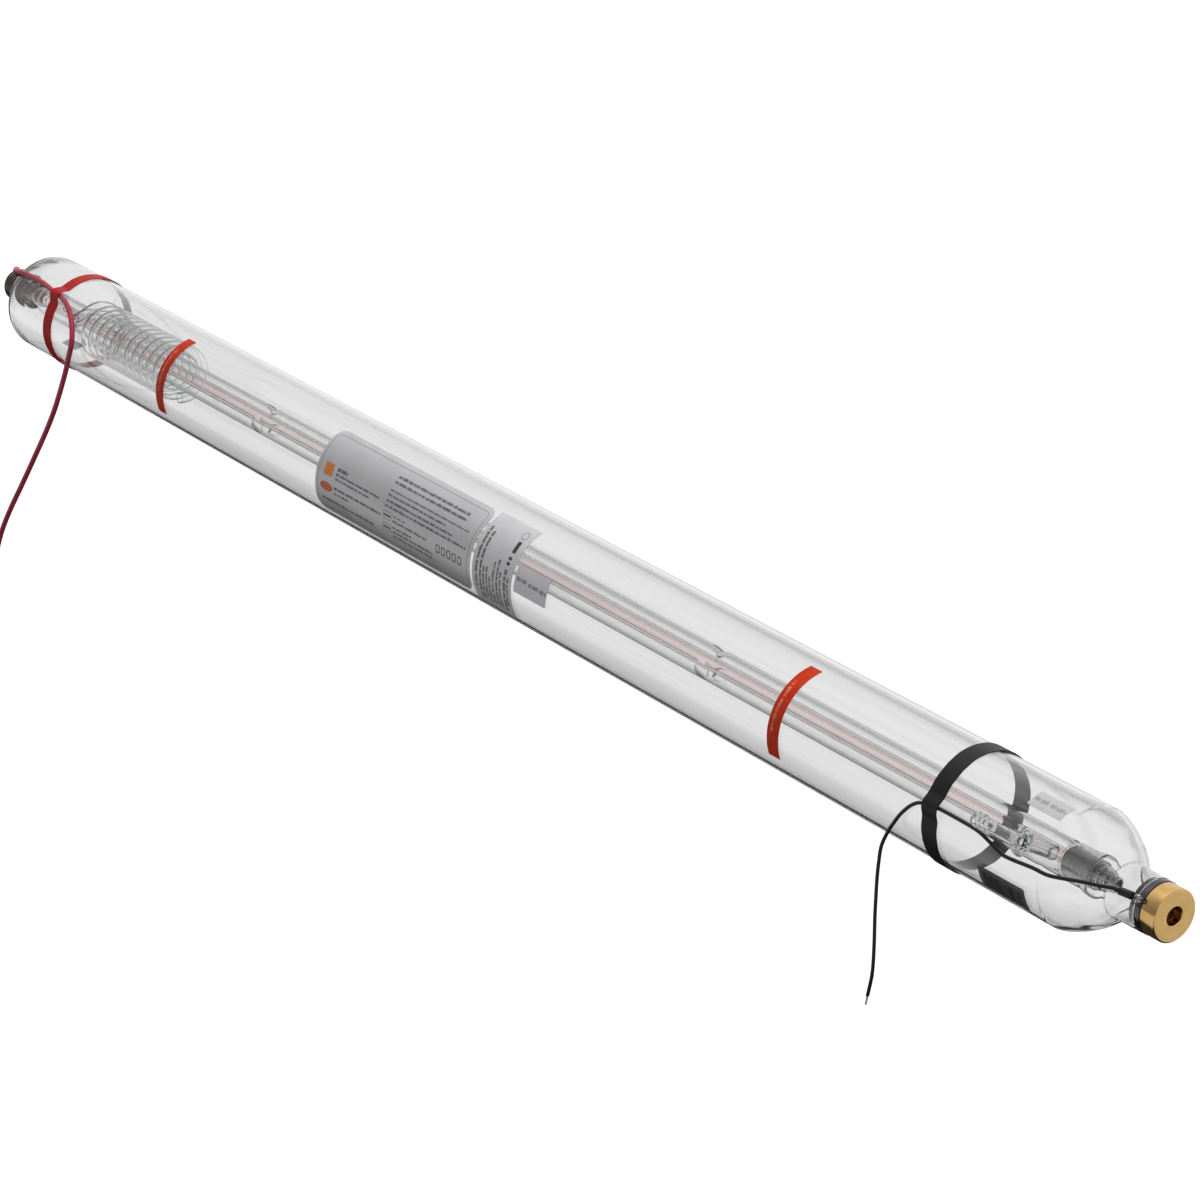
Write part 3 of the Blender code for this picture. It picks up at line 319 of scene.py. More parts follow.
def straight_start(route, inner, reach=0.004):
    """The first stretch goes straight on from the sleeve, so it bends late."""
    out = route[0] - inner
    out = out / np.linalg.norm(out)
    return np.vstack([route[0], route[0] + out * reach, route[1:]]), out


GAP = 0.0003
TERMINAL_RADIUS, TERMINAL_HEIGHT, COLLAR_RADIUS = 0.0027, 0.0042, 0.016
CATHODE_X, CATHODE_ANGLE = 0.71075, 147.0
ANODE_X, ANODE_ANGLE = -0.7071, 117.5
black_inner = on_tube(CATHODE_X - TERMINAL_RADIUS, 0.0208, CATHODE_ANGLE)
red_inner = on_tube(ANODE_X + 0.0012, COLLAR_RADIUS + TERMINAL_HEIGHT + 0.0017, ANODE_ANGLE)
black_route = lead_route(BLACK_ON_TUBE, BLACK_FREE, FRONT_FACE, -1)
red_route = lead_route(RED_ON_TUBE, RED_FREE, REAR_FACE, 1)
leads = []
for name, route, inner, radius, *rest in (
    ("black_lead", black_route, black_inner, BLACK_RADIUS, 0.0023, "black_sleeving", 4),
    ("red_lead", red_route, red_inner, RED_RADIUS, 0.0027, "red_rubber", 3),
):
    points, out = straight_start(route, inner)
    path = smooth_path(points, 1.3 * radius)
    wire = stand_for(rod(name + "_wire", path, radius, 20), name)
    length = float(np.linalg.norm(np.diff(path, axis=0), axis=1).sum())
    leads.append((name, wire, path, inner, out, radius, length, *rest))
    print(name, "is", round(length, 3), "m long")

# %% [markdown]
# ### Sleeves and tinned tips
#
# Shrunk tubing swells over the joint at its inner end and hugs the wire at the
# outer one, with a slight waist between. The strands of a tinned tip are
# twisted: seven of them make a lobed outline that turns as it goes along.

TIP_LENGTH, STRANDS = 0.007, 7
for name, wire, path, inner, out, radius, length, sleeve_radius, slot, stride in leads:
    start, end = inner + out * 2 * GAP, path[0] - out * GAP
    along = np.linspace(0, 1, 24)
    swell = 1.12 * sleeve_radius * (1 - 0.06 * along**2 - 0.02 * np.sin(math.pi * along) ** 2)
    sleeve = rod(name + "_sleeve", start + np.outer(along, end - start), swell, 28)
    stand_for(sleeve, name + "_shrink_sleeve", slot=slot)
    away = (path[-1] - path[-2]) / np.linalg.norm(path[-1] - path[-2])
    rows = np.linspace(0, 1, 30)[:, None]
    tip_path = path[-1] + away * np.linspace(GAP, GAP + TIP_LENGTH, len(rows))[:, None]
    around = circle(56)
    lobes = 0.55 * radius * (0.90 + 0.10 * np.cos(STRANDS * (around - 5.0 * rows)))
    lobes = lobes * np.sqrt(np.clip(1 - 0.9 * np.clip((rows - 0.9) / 0.1, 0, 1) ** 2, 0.05, 1))
    tip = piece_from_grid(name + "_tinned_tip", ring_grid(tip_path, lobes, 56), caps=True)
    stand_for(tip, name + "_tip", slot="tinned_copper")
    print(name, "sleeve and tip:", len(sleeve.data.vertices), "and", len(tip.data.vertices), "points")

# %% [markdown]
# ## The envelope
#
# The outer tube is drawn borosilicate glass, 80 mm across and 2.5 mm thick. Its
# ends are blown down to a neck in a flame, which leaves a smooth shoulder of no
# exact shape: full at first, then falling off towards the neck. A superellipse
# gives that curve with one number, its power. The inner surface follows the
# outer one at the wall's thickness, measured square to it. Cutting the holes
# for the water arms is left to an exact Boolean.

# %% Envelope
RADIUS, WALL, ENVELOPE_SIDES = 0.040, 0.0025, 144
FRONT_SHOULDER, REAR_SHOULDER, FRONT_NECK, REAR_NECK = 0.6487, -0.6630, 0.0175, 0.0135
HEAD_BACK, RING_FRONT, RING_BACK, NECK_FRONT = 0.7133, 0.7130, 0.7085, 0.7082
CAP_FRONT, COLLAR_BACK, NECK_REAR = -0.711, -0.7107, -0.7104


def shoulder(start, length, neck, power, towards, steps=28):
    """x = start + towards * length * s and r = neck + (R-neck)(1-s^p)^(1/p),
    for s from 0 to 1. The steps are closer where the curve is steep."""
    s = 1 - (1 - np.linspace(0, 1, steps)) ** 1.5
    s = np.where(np.arange(steps) == steps - 1, 1.0, s)
    drop = np.clip(1 - s**power, 0, 1) ** (1 / power)
    return np.stack([start + towards * s * length, neck + (RADIUS - neck) * drop], -1)


def inward(line, wall):
    """The same line moved square to itself towards the axis by the wall."""
    along = np.gradient(line, axis=0)
    along /= np.linalg.norm(along, axis=1)[:, None]
    side = np.stack([-along[:, 1], along[:, 0]], -1)
    side = side * np.sign(np.where(np.abs(side[:, 1:]) > 1e-9, -side[:, 1:], 1.0))
    return line + wall * side


front = shoulder(FRONT_SHOULDER, 0.036, FRONT_NECK, 1.3, 1)
rear = shoulder(REAR_SHOULDER, 0.028, REAR_NECK, 1.42, -1)
middle = np.stack([np.linspace(REAR_SHOULDER, FRONT_SHOULDER, 60)[1:-1], np.full(58, RADIUS)], -1)
outer = np.vstack([[(NECK_REAR, REAR_NECK)], rear[::-1], middle, front, [(NECK_FRONT, FRONT_NECK)]])
inner_line = inward(outer, WALL)
inner_line[[0, -1], 0] = outer[[0, -1], 0]
envelope = turned("blown_envelope", np.vstack([outer, inner_line[::-1]]), ENVELOPE_SIDES)


def ripple(piece, wave, first=0):
    """Move the points from the given one on along their radius by
    wave(x, angle), in metres: glass that a flame has softened is never even."""
    spots = np.empty(len(piece.data.vertices) * 3, np.float32)
    piece.data.vertices.foreach_get("co", spots)
    spots = spots.reshape(-1, 3).astype(float)
    radius, angle = np.hypot(spots[:, 1], spots[:, 2]), np.arctan2(spots[:, 2], spots[:, 1])
    push = wave(spots[:, 0], angle)
    push[:first] = 0.0
    spots[:, 1:] *= ((radius + push) / radius)[:, None]
    piece.data.vertices.foreach_set("co", spots.astype(np.float32).ravel())


def hump(x, low, high):
    """sin^2, zero at both limits and one half-way between them."""
    return np.sin(math.pi * np.clip((x - low) / (high - low), 0, 1)) ** 2


def shoulder_waves(x, a):
    """Slow rings on the inner face of both shoulders, bent round the tube."""
    front = np.sin(420 * x + 2.2 * np.sin(2 * a + 0.6) + 0.8 * np.sin(5 * a))
    rear = np.sin(420 * x + 1.8 * np.sin(2 * a))
    return 0.00010 * hump(x, 0.652, 0.7075) * front + 0.00008 * hump(x, -0.7095, -0.655) * rear


ripple(envelope, shoulder_waves, len(outer) * ENVELOPE_SIDES)
stand_for(envelope, "envelope", slot="glass", sharp=60)


def drill(piece, name, start, end, radius, sides=48):
    """Cut a round hole through a piece, from start to end."""
    line = np.linspace(0, 1, 3)[:, None] * (np.asarray(end) - start) + start
    cutter = piece_from_grid(name, ring_grid(line, radius, sides), caps=True)
    cut = piece.modifiers.new(name, "BOOLEAN")
    cut.operation, cut.solver, cut.object = "DIFFERENCE", "EXACT", cutter
    with bpy.context.temp_override(object=piece, active_object=piece):
        bpy.ops.object.modifier_apply(modifier=name)
    bpy.data.objects.remove(cutter, do_unlink=True)


# Each water arm: its x, its angle, and which way its nipple points.
OUTLET = (0.6296, 150.5, -1)
INLET = (-0.6490, 330.5, 1)
ARM_HOLE = 0.0048
for name, (x, angle, _) in (("outlet_hole", OUTLET), ("inlet_hole", INLET)):
    drill(envelope, name, on_tube(x, 0.0300, angle), on_tube(x, 0.0500, angle), ARM_HOLE)
envelope.data.set_sharp_from_angle(angle=math.radians(60))
print("envelope:", len(envelope.data.vertices), "points")

# %% [markdown]
# ## Jacket, discharge tube and cathode chamber
#
# Cooling water runs in the jacket, round the capillary in which the gas glows.
# Its ends are closed in the flame, so they are round. Two sets of three dimples
# are pressed in from outside and hold the capillary in the middle; each is a
# smooth bump of cosine-squared depth.

# %% Jacket
JACKET_FRONT, JACKET_REAR, JACKET, JACKET_WALL = 0.6366, -0.6670, 0.0120, 0.0015
END_BOW, END_HOLE = 0.003, 0.0053
DIMPLE_SETS, DIMPLE_REACH, DIMPLE_DEPTH = (0.283, -0.297), 0.008, 0.0051
COIL_FOOT, COIL_FOOT_ANGLE = -0.5965, 168


def jacket_line(radius, inset, stations):
    """A wall of the jacket from rear to front: r grows as sin q over a quarter
    turn q while x moves by 1 - cos q, then the straight part, then back."""
    q = np.linspace(0, math.pi / 2, 12)
    bow, r = END_BOW * (1 - np.cos(q)), END_HOLE + (radius - END_HOLE) * np.sin(q)
    rear = np.stack([JACKET_REAR + inset + bow, r], -1)
    front = np.stack([JACKET_FRONT - inset - bow, r], -1)
    straight = np.stack([stations, np.full(len(stations), radius)], -1)
    return np.vstack([rear, straight, front[::-1]])


# The rings stand closer where the dimples are.
stations = np.concatenate(
    [
        np.linspace(-0.6640, -0.3070, 30)[1:-1],
        np.linspace(-0.3070, -0.2870, 33),
        np.linspace(-0.2870, 0.2730, 40)[1:-1],
        np.linspace(0.2730, 0.2930, 33),
        np.linspace(0.2930, 0.6336, 28)[1:-1],
    ]
)
outside = jacket_line(JACKET, 0.0, stations)
inside = jacket_line(JACKET - JACKET_WALL, 0.0012, stations[1:-1])
jacket = turned("dimpled_water_jacket", np.vstack([outside, inside[::-1]]), 120)


def dimples(x, a):
    """-d cos^2(pi/2 q) within a distance q < 1 of each of six spots, and slow
    rings near both ends."""
    press = np.zeros_like(x)
    for centre in DIMPLE_SETS:
        for third in (60, 180, 300):
            apart = (a - math.radians(third) + math.pi) % (2 * math.pi) - math.pi
            q = np.minimum(np.hypot(x - centre, apart * JACKET) / DIMPLE_REACH, 1)
            press -= DIMPLE_DEPTH * np.cos(math.pi / 2 * q) ** 2
    front = hump(x, 0.598, 0.6335) * np.sin(620 * x + 2.4 * np.sin(2 * a))
    rear = hump(x, -0.6640, -0.6250) * np.sin(640 * x + 1.5 * np.sin(3 * a + 1))
    return press + 0.00018 * (front + rear)


ripple(jacket, dimples)
stand_for(jacket, "water_jacket", slot="glass", sharp=60)
for name, (x, angle, _) in (("outlet_foot", OUTLET), ("inlet_foot", INLET)):
    drill(jacket, name, on_tube(x, 0.0088, angle), on_tube(x, 0.0200, angle), ARM_HOLE)
foot = [on_tube(COIL_FOOT, r, COIL_FOOT_ANGLE) for r in (0.0090, 0.0140)]
drill(jacket, "coil_foot", *foot, 0.0050)
jacket.data.set_sharp_from_angle(angle=math.radians(60))
print("jacket:", len(jacket.data.vertices), "points")

# %% [markdown]
# ### Discharge tube and chamber
#
# The chamber is a wide short mouth in front of the jacket. At the rear the capillary opens into a bell that
# takes the anode, on a cosine, so that it starts and ends without a kink. A cut
# end is melted until it is round, which half a circle on the outline gives.

# %% Discharge tube and cathode chamber
DISCHARGE_FRONT, DISCHARGE_REAR, CAPILLARY, BORE = 0.6371, -0.7010, 0.005, 0.003
CHAMBER_BACK, CHAMBER_FRONT, CHAMBER_WALL = 0.6369, 0.6641, 0.0012


def lip(x, radius, half, towards):
    """Half a circle over a wall's end, as a flame polishes it."""
    turn = np.linspace(0, math.pi, 12)
    return np.stack([x + towards * half * (1 - np.sin(turn)), radius + half * np.cos(turn)], -1)


widen = JACKET_REAR - GAP
flare = np.linspace(0, 1, 12)
bell = 0.5 - 0.5 * np.cos(math.pi * flare)
outer = np.stack([widen - 0.006 * flare, CAPILLARY + 0.0032 * bell], -1)
bore = np.stack([widen + 0.002 - 0.008 * flare, BORE + 0.0037 * bell], -1)
mouth = lip(DISCHARGE_REAR, 0.00745, 0.00075, 1)
outline = np.vstack([[(DISCHARGE_FRONT, CAPILLARY)], outer, mouth, bore[::-1], [(DISCHARGE_FRONT, BORE)]])
stand_for(turned("discharge_capillary", outline, 72), "discharge_tube", slot="glass")

s = np.linspace(0, 1, 16)
lean = 0.5 - 0.5 * np.cos(math.pi * s)
body = np.stack([CHAMBER_FRONT - 0.0046 - 0.0070 * s, 0.0135 - 0.0011 * lean], -1)
back = np.stack([CHAMBER_BACK + 0.004 * (1 - s), 0.0124 - 0.0008 * (1 - np.cos(s * math.pi / 2))], -1)
side = np.vstack([body, back])
mouth = lip(CHAMBER_FRONT, 0.0131, CHAMBER_WALL / 2, -1)
outline = np.vstack([mouth[::-1], side, (side - (0, CHAMBER_WALL))[::-1]])
stand_for(turned("cathode_mouth", outline, 96), "cathode_chamber", slot="glass")
print("capillary bore:", 2 * BORE, "m; chamber:", round(CHAMBER_FRONT - CHAMBER_BACK, 4), "m long")

# %% [markdown]
# ## The gas return coil
#
# Gas drifts from one end of the discharge to the other, so a long thin tube
# leads it back. It is wound as a spiral round the jacket: long, to stop the
# discharge from taking that way. On a helix x falls by one pitch a turn while
# the angle grows. The rear end tapers and turns in to the capillary.

# %% Coil
COIL_RADIUS, COIL_TURNS, STEPS = 0.0195, 11.3, 48
TIGHT_TURNS, TIGHT_PITCH, PITCH = 0.8, 0.0096, 0.01206
COIL_LEAD = [
    (0.0, 0.0105, 168), (0.0018, 0.0150, 165), (0.0060, 0.0170, 156.5), (0.0115, 0.0172, 144.5),
    (0.0158, 0.0175, 130), (0.0185, 0.0181, 116), (0.0203, 0.0190, 101), (0.0218, 0.0195, 85),
    (0.0240, 0.0195, 60), (0.0265, 0.0195, 32),
]
turns_done = np.arange(0, COIL_TURNS * STEPS + 1) / STEPS
advance = np.where(
    turns_done < TIGHT_TURNS,
    TIGHT_PITCH * turns_done,
    TIGHT_PITCH * TIGHT_TURNS + PITCH * (turns_done - TIGHT_TURNS),
)
helix = on_tube(-0.4334 - advance, COIL_RADIUS, 256 + 360 * turns_done)[::-1]
foot_points = np.array([on_tube(COIL_FOOT + x, r, a) for x, r, a in COIL_LEAD])
coil_lead = smooth_path(np.vstack([foot_points, helix[:1]]), 0.0012)
coil_start = on_tube(COIL_FOOT, 0.0056, COIL_FOOT_ANGLE)
coil_path = np.vstack([coil_start, coil_lead, helix[1:]])
taper = 0.78 + 0.22 * np.clip(np.arange(len(coil_path)) / len(coil_lead), 0, 1)
coil = pipe("gas_return_spiral", coil_path, 0.0046 * taper, 0.0038 * taper, 36)
stand_for(coil, "gas_return_coil", slot="glass", sharp=60)
print("coil:", len(coil.data.vertices), "points")

# %% [markdown]
# ## Water arms
#
# Water goes in and out through two glass arms: each starts in the jacket,
# passes through the envelope, where a collar of glass is flared over the hole,
# bends along the tube and ends in a barbed nipple for a hose. Arm, elbow and
# nipple are one circle carried along an L-shaped path, and its radius swells
# for the flare and for every barb.

# %% Water arms
BARBS, BARB_PITCH, FLARE_FOOT = 4, 0.0042, 0.0405


def outwards(degrees):
    """(0, cos a, sin a): the direction away from the optical axis."""
    return np.array([0.0, math.cos(math.radians(degrees)), math.sin(math.radians(degrees))])


def water_arm(name, x, degrees, towards):
    """The radius along the path is r(s): the arm's own, plus a bell over the
    envelope, plus sawtooth barbs along the nipple."""
    bend, stand, reach, radius, sides = 0.0056, 0.048, 0.0345, 0.0045, 48
    height = np.concatenate([np.linspace(0.0102, 0.0372, 14), np.linspace(FLARE_FOOT, stand - bend, 20)])
    a = np.linspace(0, math.pi / 2, 16)[1:]
    ridge = reach - BARBS * BARB_PITCH
    tooth = [ridge + BARB_PITCH * k + d for k in range(BARBS) for d in (-0.00015, 0.0006, 0.0011, 0.0030)]
    run = np.concatenate([[0.0075, 0.0105, 0.0140], tooth, [reach - 0.0008, reach]])
    # Along the tube and away from it: up through the envelope, the elbow, the run.
    flat = np.vstack(
        [
            np.stack([np.zeros_like(height), height], -1),
            np.stack([bend * (1 - np.cos(a)), stand - bend * (1 - np.sin(a))], -1),
            np.stack([run, np.full(len(run), stand)], -1),
        ]
    )
    bell = 0.0047 * np.clip(1 - (height - FLARE_FOOT) / 0.0045, 0, 1) ** 2.2 * (height > 0.0400)
    barb = [0.0043, 0.0052, 0.0051, 0.0045] * BARBS
    nose = [radius, 0.0044, 0.0043, *barb, 0.0040, 0.0035]
    radii = np.concatenate([radius + bell, np.full(len(a), radius), nose])
    out = outwards(degrees)
    path = np.array([x, 0.0, 0.0]) + np.outer(flat[:, 0], (towards, 0, 0)) + np.outer(flat[:, 1], out)
    side = np.cross(out, (1.0, 0.0, 0.0))
    along = np.gradient(flat, axis=0)
    along /= np.linalg.norm(along, axis=1)[:, None]
    normal = np.outer(-along[:, 1] * towards, (1.0, 0, 0)) + np.outer(along[:, 0], out)
    angle = circle(sides)[None, :, None]
    across = normal[:, None] * np.cos(angle) + side * np.sin(angle)
    outer = path[:, None] + radii[:, None, None] * across
    # The flare rests on the round envelope: its lowest rings follow the curve.
    beside = (outer - path[:, None]) @ side
    follow = np.sqrt(np.maximum((RADIUS + GAP) ** 2 - beside**2, 0)) - FLARE_FOOT
    weight = np.zeros(len(path))
    weight[: len(height)] = np.clip((0.0440 - height) / 0.0035, 0, 1) * (height > 0.0400)
    outer = outer + (follow * weight[:, None])[..., None] * out
    inner = path[:, None] + 0.003 * across
    return piece_from_grid(name, np.concatenate([outer, inner[::-1]]), closed=(True, True))


for name, place, node in (("outlet_arm", OUTLET, "water_outlet"), ("inlet_arm", INLET, "water_inlet")):
    arm = stand_for(water_arm(name, *place), node, slot="glass", sharp=40)
    print(name, "at x =", place[0], "m:", len(arm.data.vertices), "points")

# %% [markdown]
# ## Metal ends
#
# The output head is a turned brass cap, lapped flat, with a small chamfer and
# a hole for the beam; the coupling mirror sits behind it. A polished steel ring
# joins it to the glass, since its alloy expands as glass does. At the rear, a
# cap holds the other mirror, and a collar is shrunk round the neck. On all of
# them a fine turning groove every few tenths of a millimetre shows as a soft
# streak of light, which the material gives.

# %% Metal ends
# Piece, solid, slot, sides, rounding of the edges, and the outline.
METAL_ENDS = (
    ("brass_output_head", "output_head", "brass", 160, 0.00018, [
        (0.7250, 0.0161), (0.7241, 0.0170), (0.7139, 0.0170), (HEAD_BACK, 0.0164), (HEAD_BACK, 0.0098),
        (0.7178, 0.0098), (0.7178, 0.0060), (0.7246, 0.0060), (0.7250, 0.0064),
    ]),
    ("coupling_mirror", "output_mirror", "coupler", 96, 0.0001, [
        (0.7175, 0.0001), (0.7175, 0.0093), (0.7173, 0.0095), (0.7137, 0.0095), (0.7135, 0.0093),
        (0.7135, 0.0001),
    ]),
    ("steel_seal_ring", "seal_ring", "steel", 160, 0.00015, [
        (RING_FRONT, 0.0171), (0.7128, 0.0173), (0.7087, 0.0173), (RING_BACK, 0.0171), (RING_BACK, 0.0147),
        (0.7035, 0.0147), (0.7035, 0.0080), (RING_FRONT, 0.0080),
    ]),
    ("bronze_rear_cap", "rear_cap", "bronze", 144, 0.00018, [
        (-0.7153, 0.0001), (-0.7153, 0.0098), (CAP_FRONT, 0.0098), (CAP_FRONT, 0.0138), (-0.7112, 0.0140),
        (-0.7238, 0.0140), (-0.7250, 0.0128), (-0.7250, 0.0001),
    ]),
    ("back_mirror", "rear_mirror", "silicon_mirror", 96, 0.0001, [
        (-0.7110, 0.0001), (-0.7110, 0.0093), (-0.7112, 0.0095), (-0.7148, 0.0095), (-0.7150, 0.0093),
        (-0.7150, 0.0001),
    ]),
    ("bronze_neck_collar", "rear_collar", "bronze", 144, 0.00015, [
        (-0.7035, 0.0154), (-0.7041, 0.0160), (-0.7104, 0.0160), (COLLAR_BACK, 0.0157),
        (COLLAR_BACK, 0.0138), (-0.7035, 0.0138),
    ]),
)
PIN_HOLE = 0.0009
for name, node, slot, sides, edge, outline in METAL_ENDS:
    piece = turned(name, rounded(outline, edge), sides)
    if node == "seal_ring":
        hole = [on_tube(CATHODE_X, r, CATHODE_ANGLE) for r in (0.0060, 0.0193)]
        drill(piece, "pin_hole", *hole, PIN_HOLE, 24)
    stand_for(piece, node, slot=slot)
    print(name, "has", len(piece.data.vertices), "points")

# %% [markdown]
# ## Electrodes
#
# The cathode is a cylinder of thin nickel sheet inside the chamber, closed at
# the front by turned rings that step down. Sheet ends are rolled over a little,
# which stiffens them. A bead of glass carries the pin through the seal ring,
# and a wire brings the current on to the sleeve.

# %% Electrodes
SLEEVE_BACK, SLEEVE_FRONT, SLEEVE_LENGTH = 0.6374, 0.6615, 0.0241
PIN_FOOT, RIM = 0.0074, 0.0096 + GAP + 0.0005
s = np.linspace(0, 1, 40)
beads = 0.00012 * np.cos(math.pi * s * 6) ** 8
outside = np.stack([SLEEVE_BACK + SLEEVE_LENGTH * s, 0.00946 + beads], -1)
inside = np.stack([SLEEVE_FRONT - SLEEVE_LENGTH * s, np.full(len(s), 0.0088)], -1)
stand_for(turned("cathode_cylinder", np.vstack([outside, inside]), 96), "cathode_sleeve", slot="nickel")
# Each ring of the collar has a neck over the first 0.4 of its length.
steps = [(0.6590, 0.0036), (0.6590, 0.0085), (SLEEVE_FRONT, 0.0085)]
x, neck, clearance = SLEEVE_FRONT, 0.0012, 0.0004
for radius, length in ((0.0078, 0.0052), (0.0068, 0.0055), (0.0056, 0.005), (0.0046, 0.0045)):
    wide = x + 0.4 * length
    steps += [(x, radius - neck), (wide, radius - neck), (wide, radius), (x + length - clearance, radius)]
    x += length
steps += [(x - clearance, 0.0036)]
stand_for(turned("stepped_cathode_collar", rounded(steps, 0.00025), 96), "cathode_collar", slot="nickel")
tube = rounded([(-0.7000, 0.0064), (-0.6800, 0.0064), (-0.6800, 0.0056), (-0.7000, 0.0056)], 0.00025)
stand_for(turned("anode_cylinder", tube, 72), "anode_sleeve", slot="nickel")


def terminal(name, x, foot, degrees, node, slot):
    """A bead turned about a radius of the tube: r(s) and height h(s) give
    P = (x, 0, 0) + (foot + h) N + r (U cos a + V sin a), N pointing outwards."""
    turn = np.linspace(0, math.pi / 2, 16)
    h = np.concatenate([[0.00189, 0.00189, 0.0, 0.0, 0.0006], 0.0015 + TERMINAL_RADIUS * np.sin(turn)])
    dome = np.maximum(TERMINAL_RADIUS * np.cos(turn), 0.0001)
    r = np.concatenate([[0.0001, 0.0009, 0.0009, 0.00200, 0.00235], dome])
    n = outwards(degrees)
    u, v = np.array([1.0, 0, 0]), np.cross(n, (1.0, 0, 0))
    a = circle(48)[None, :, None]
    across = r[:, None, None] * (u * np.cos(a) + v * np.sin(a))
    grid = np.array([x, 0, 0]) + (foot + h)[:, None, None] * n + across
    stand_for(piece_from_grid(name, grid, closed=(True, True)), node, slot=slot)


terminal("cathode_glass_bead", CATHODE_X, 0.0176, CATHODE_ANGLE, "cathode_terminal", "glass")
terminal("anode_bead", ANODE_X, 0.0163, ANODE_ANGLE, "anode_terminal", "bronze")
pin = on_tube(CATHODE_X, np.linspace(PIN_FOOT + 0.0013, 0.01928, 12), CATHODE_ANGLE)
stand_for(rod("cathode_feed_pin", pin, 0.0006, 16), "cathode_pin", slot="nickel")
feed = [
    on_tube(x, r, CATHODE_ANGLE)
    for x, r in (
        (CATHODE_X, PIN_FOOT), (CATHODE_X - 0.010, PIN_FOOT), (0.7035 - 0.004, 0.0084),
        (0.6715, RIM + 0.001), (0.6635, RIM), (0.6575, RIM),
    )
]
stand_for(rod("cathode_feed_wire", smooth_path(feed, 0.0008), 0.0005, 16), "cathode_wire", slot="nickel")
print("cathode collar ends at x =", round(x, 4), "m")

# %% [markdown]
# ## Tapes, strips and labels
#
# All of them are films that lie on the glass: a few tenths of a millimetre of
# vinyl or paper, cut straight and pressed down by hand. Each is a thin closed
# shell over a patch of the envelope. The print on a label is a vertex
# attribute, ink, worked out from plain bars in millimetres.

# %% Skins
FILM = 0.0003
PRINT_LINE, MM_PER_DEGREE = 108, 0.7086


def skin(name, node, slot, x0, x1, a0, a1, corner, ink, step):
    """P = (x, R cos a, R sin a) with x from x0 + i to x1 - i, where the inset i
    of a rounded corner is c - sqrt(c^2 - d^2), d being how far the line lies
    beyond the corner's start. Only the outer face is fine."""
    a0, a1 = math.radians(a0), math.radians(a1)
    low = RADIUS + GAP
    half = (a1 - a0) / 2 * low
    across = np.linspace(-half, half, max(8, round(2 * half / step) + 1))
    if corner:
        ends = half - corner + corner * np.sin(np.linspace(0, math.pi / 2, 16))
        across = np.unique(np.round(np.concatenate([across, ends, -ends]), 7))
    d = np.clip(np.abs(across) - (half - corner), 0, corner)
    inset = corner - np.sqrt(np.maximum(corner**2 - d**2, 0))
    t = np.linspace(0, 1, max(6, round((x1 - x0) / step) + 1))
    x = x0 + inset[:, None] + (x1 - x0 - 2 * inset)[:, None] * t
    angle = (a0 + a1) / 2 + across / low
    top = on_tube(x, low + FILM, np.degrees(angle)[:, None])
    under = on_tube(x[:, [-1, 0]], low, np.degrees(angle)[:, None])
    piece = piece_from_grid(name, np.concatenate([top, under], 1), caps=True)
    # u is x in millimetres; v is how far round the envelope the point lies from
    # the print's first line, near the top.
    v = np.broadcast_to((np.degrees(angle)[:, None] - PRINT_LINE) * MM_PER_DEGREE, x.shape)
    value = np.concatenate([ink(x * 1000, v), np.zeros((len(across), 2))], 1)
    value = np.concatenate([value.ravel(), [0, 0]]).astype(np.float32)
    piece.data.attributes.new("ink", "FLOAT", "POINT").data.foreach_set("value", value)
    stand_for(piece, node, slot=slot, sharp=40)
    print(name, "has", len(piece.data.vertices), "points")


# %% [markdown]
# ### Print
#
# A printed line is seen from afar as a row of small dark bars in groups. The
# bars are drawn by chance, each row from its own seed, so that a row comes out
# the same at every run. A frame is the set of points at one distance from a
# rectangle with rounded corners.

# %% Print
def bars(u, v, rows, soft=0.25):
    """1 inside any of the bars (u0, u1, v0, v1) and 0 outside, with an edge
    that is soft over a quarter of a millimetre."""
    ink = np.zeros_like(u)
    for u0, u1, v0, v1 in rows:
        inside = np.minimum(np.minimum(u - u0, u1 - u), np.minimum(v - v0, v1 - v))
        ink = np.maximum(ink, np.clip(inside / soft + 0.5, 0, 1))
    return ink


def frame_line(u, v, u0, u1, v0, v1, corner, width):
    """A line round a rectangle with rounded corners: the points whose distance
    from it, outside positive, is less than half the line's width."""
    du = np.abs(u - (u0 + u1) / 2) - (u1 - u0) / 2 + corner
    dv = np.abs(v - (v0 + v1) / 2) - (v1 - v0) / 2 + corner
    far = np.hypot(np.maximum(du, 0), np.maximum(dv, 0)) + np.minimum(np.maximum(du, dv), 0) - corner
    return np.clip((width / 2 - np.abs(far)) / 0.25 + 0.5, 0, 1)


def row(seed, u0, u1, v0, v1, across):
    """Small plain bars of uneven length and height in groups, as a line of
    print looks from afar, along the tube or, if across is set, round it."""
    random = np.random.default_rng(seed)
    marks, at, left = [], u0, 3
    while at < u1:
        end = min(at + random.uniform(0.8, 1.5), u1)
        low, high = v0 + 0.12 * (v1 - v0) * random.integers(0, 3), v1
        marks.append((low, high, at, end) if across else (at, end, low, high))
        left -= 1
        at = end + (0.35 if left else 1.3)
        left = left or random.integers(3, 8)
    return marks


def rows_of_print(first, boxes, across=False):
    """The marks of several rows, whose seeds count up from the first."""
    return [mark for seed, box in enumerate(boxes, first) for mark in row(seed, *box, across)]


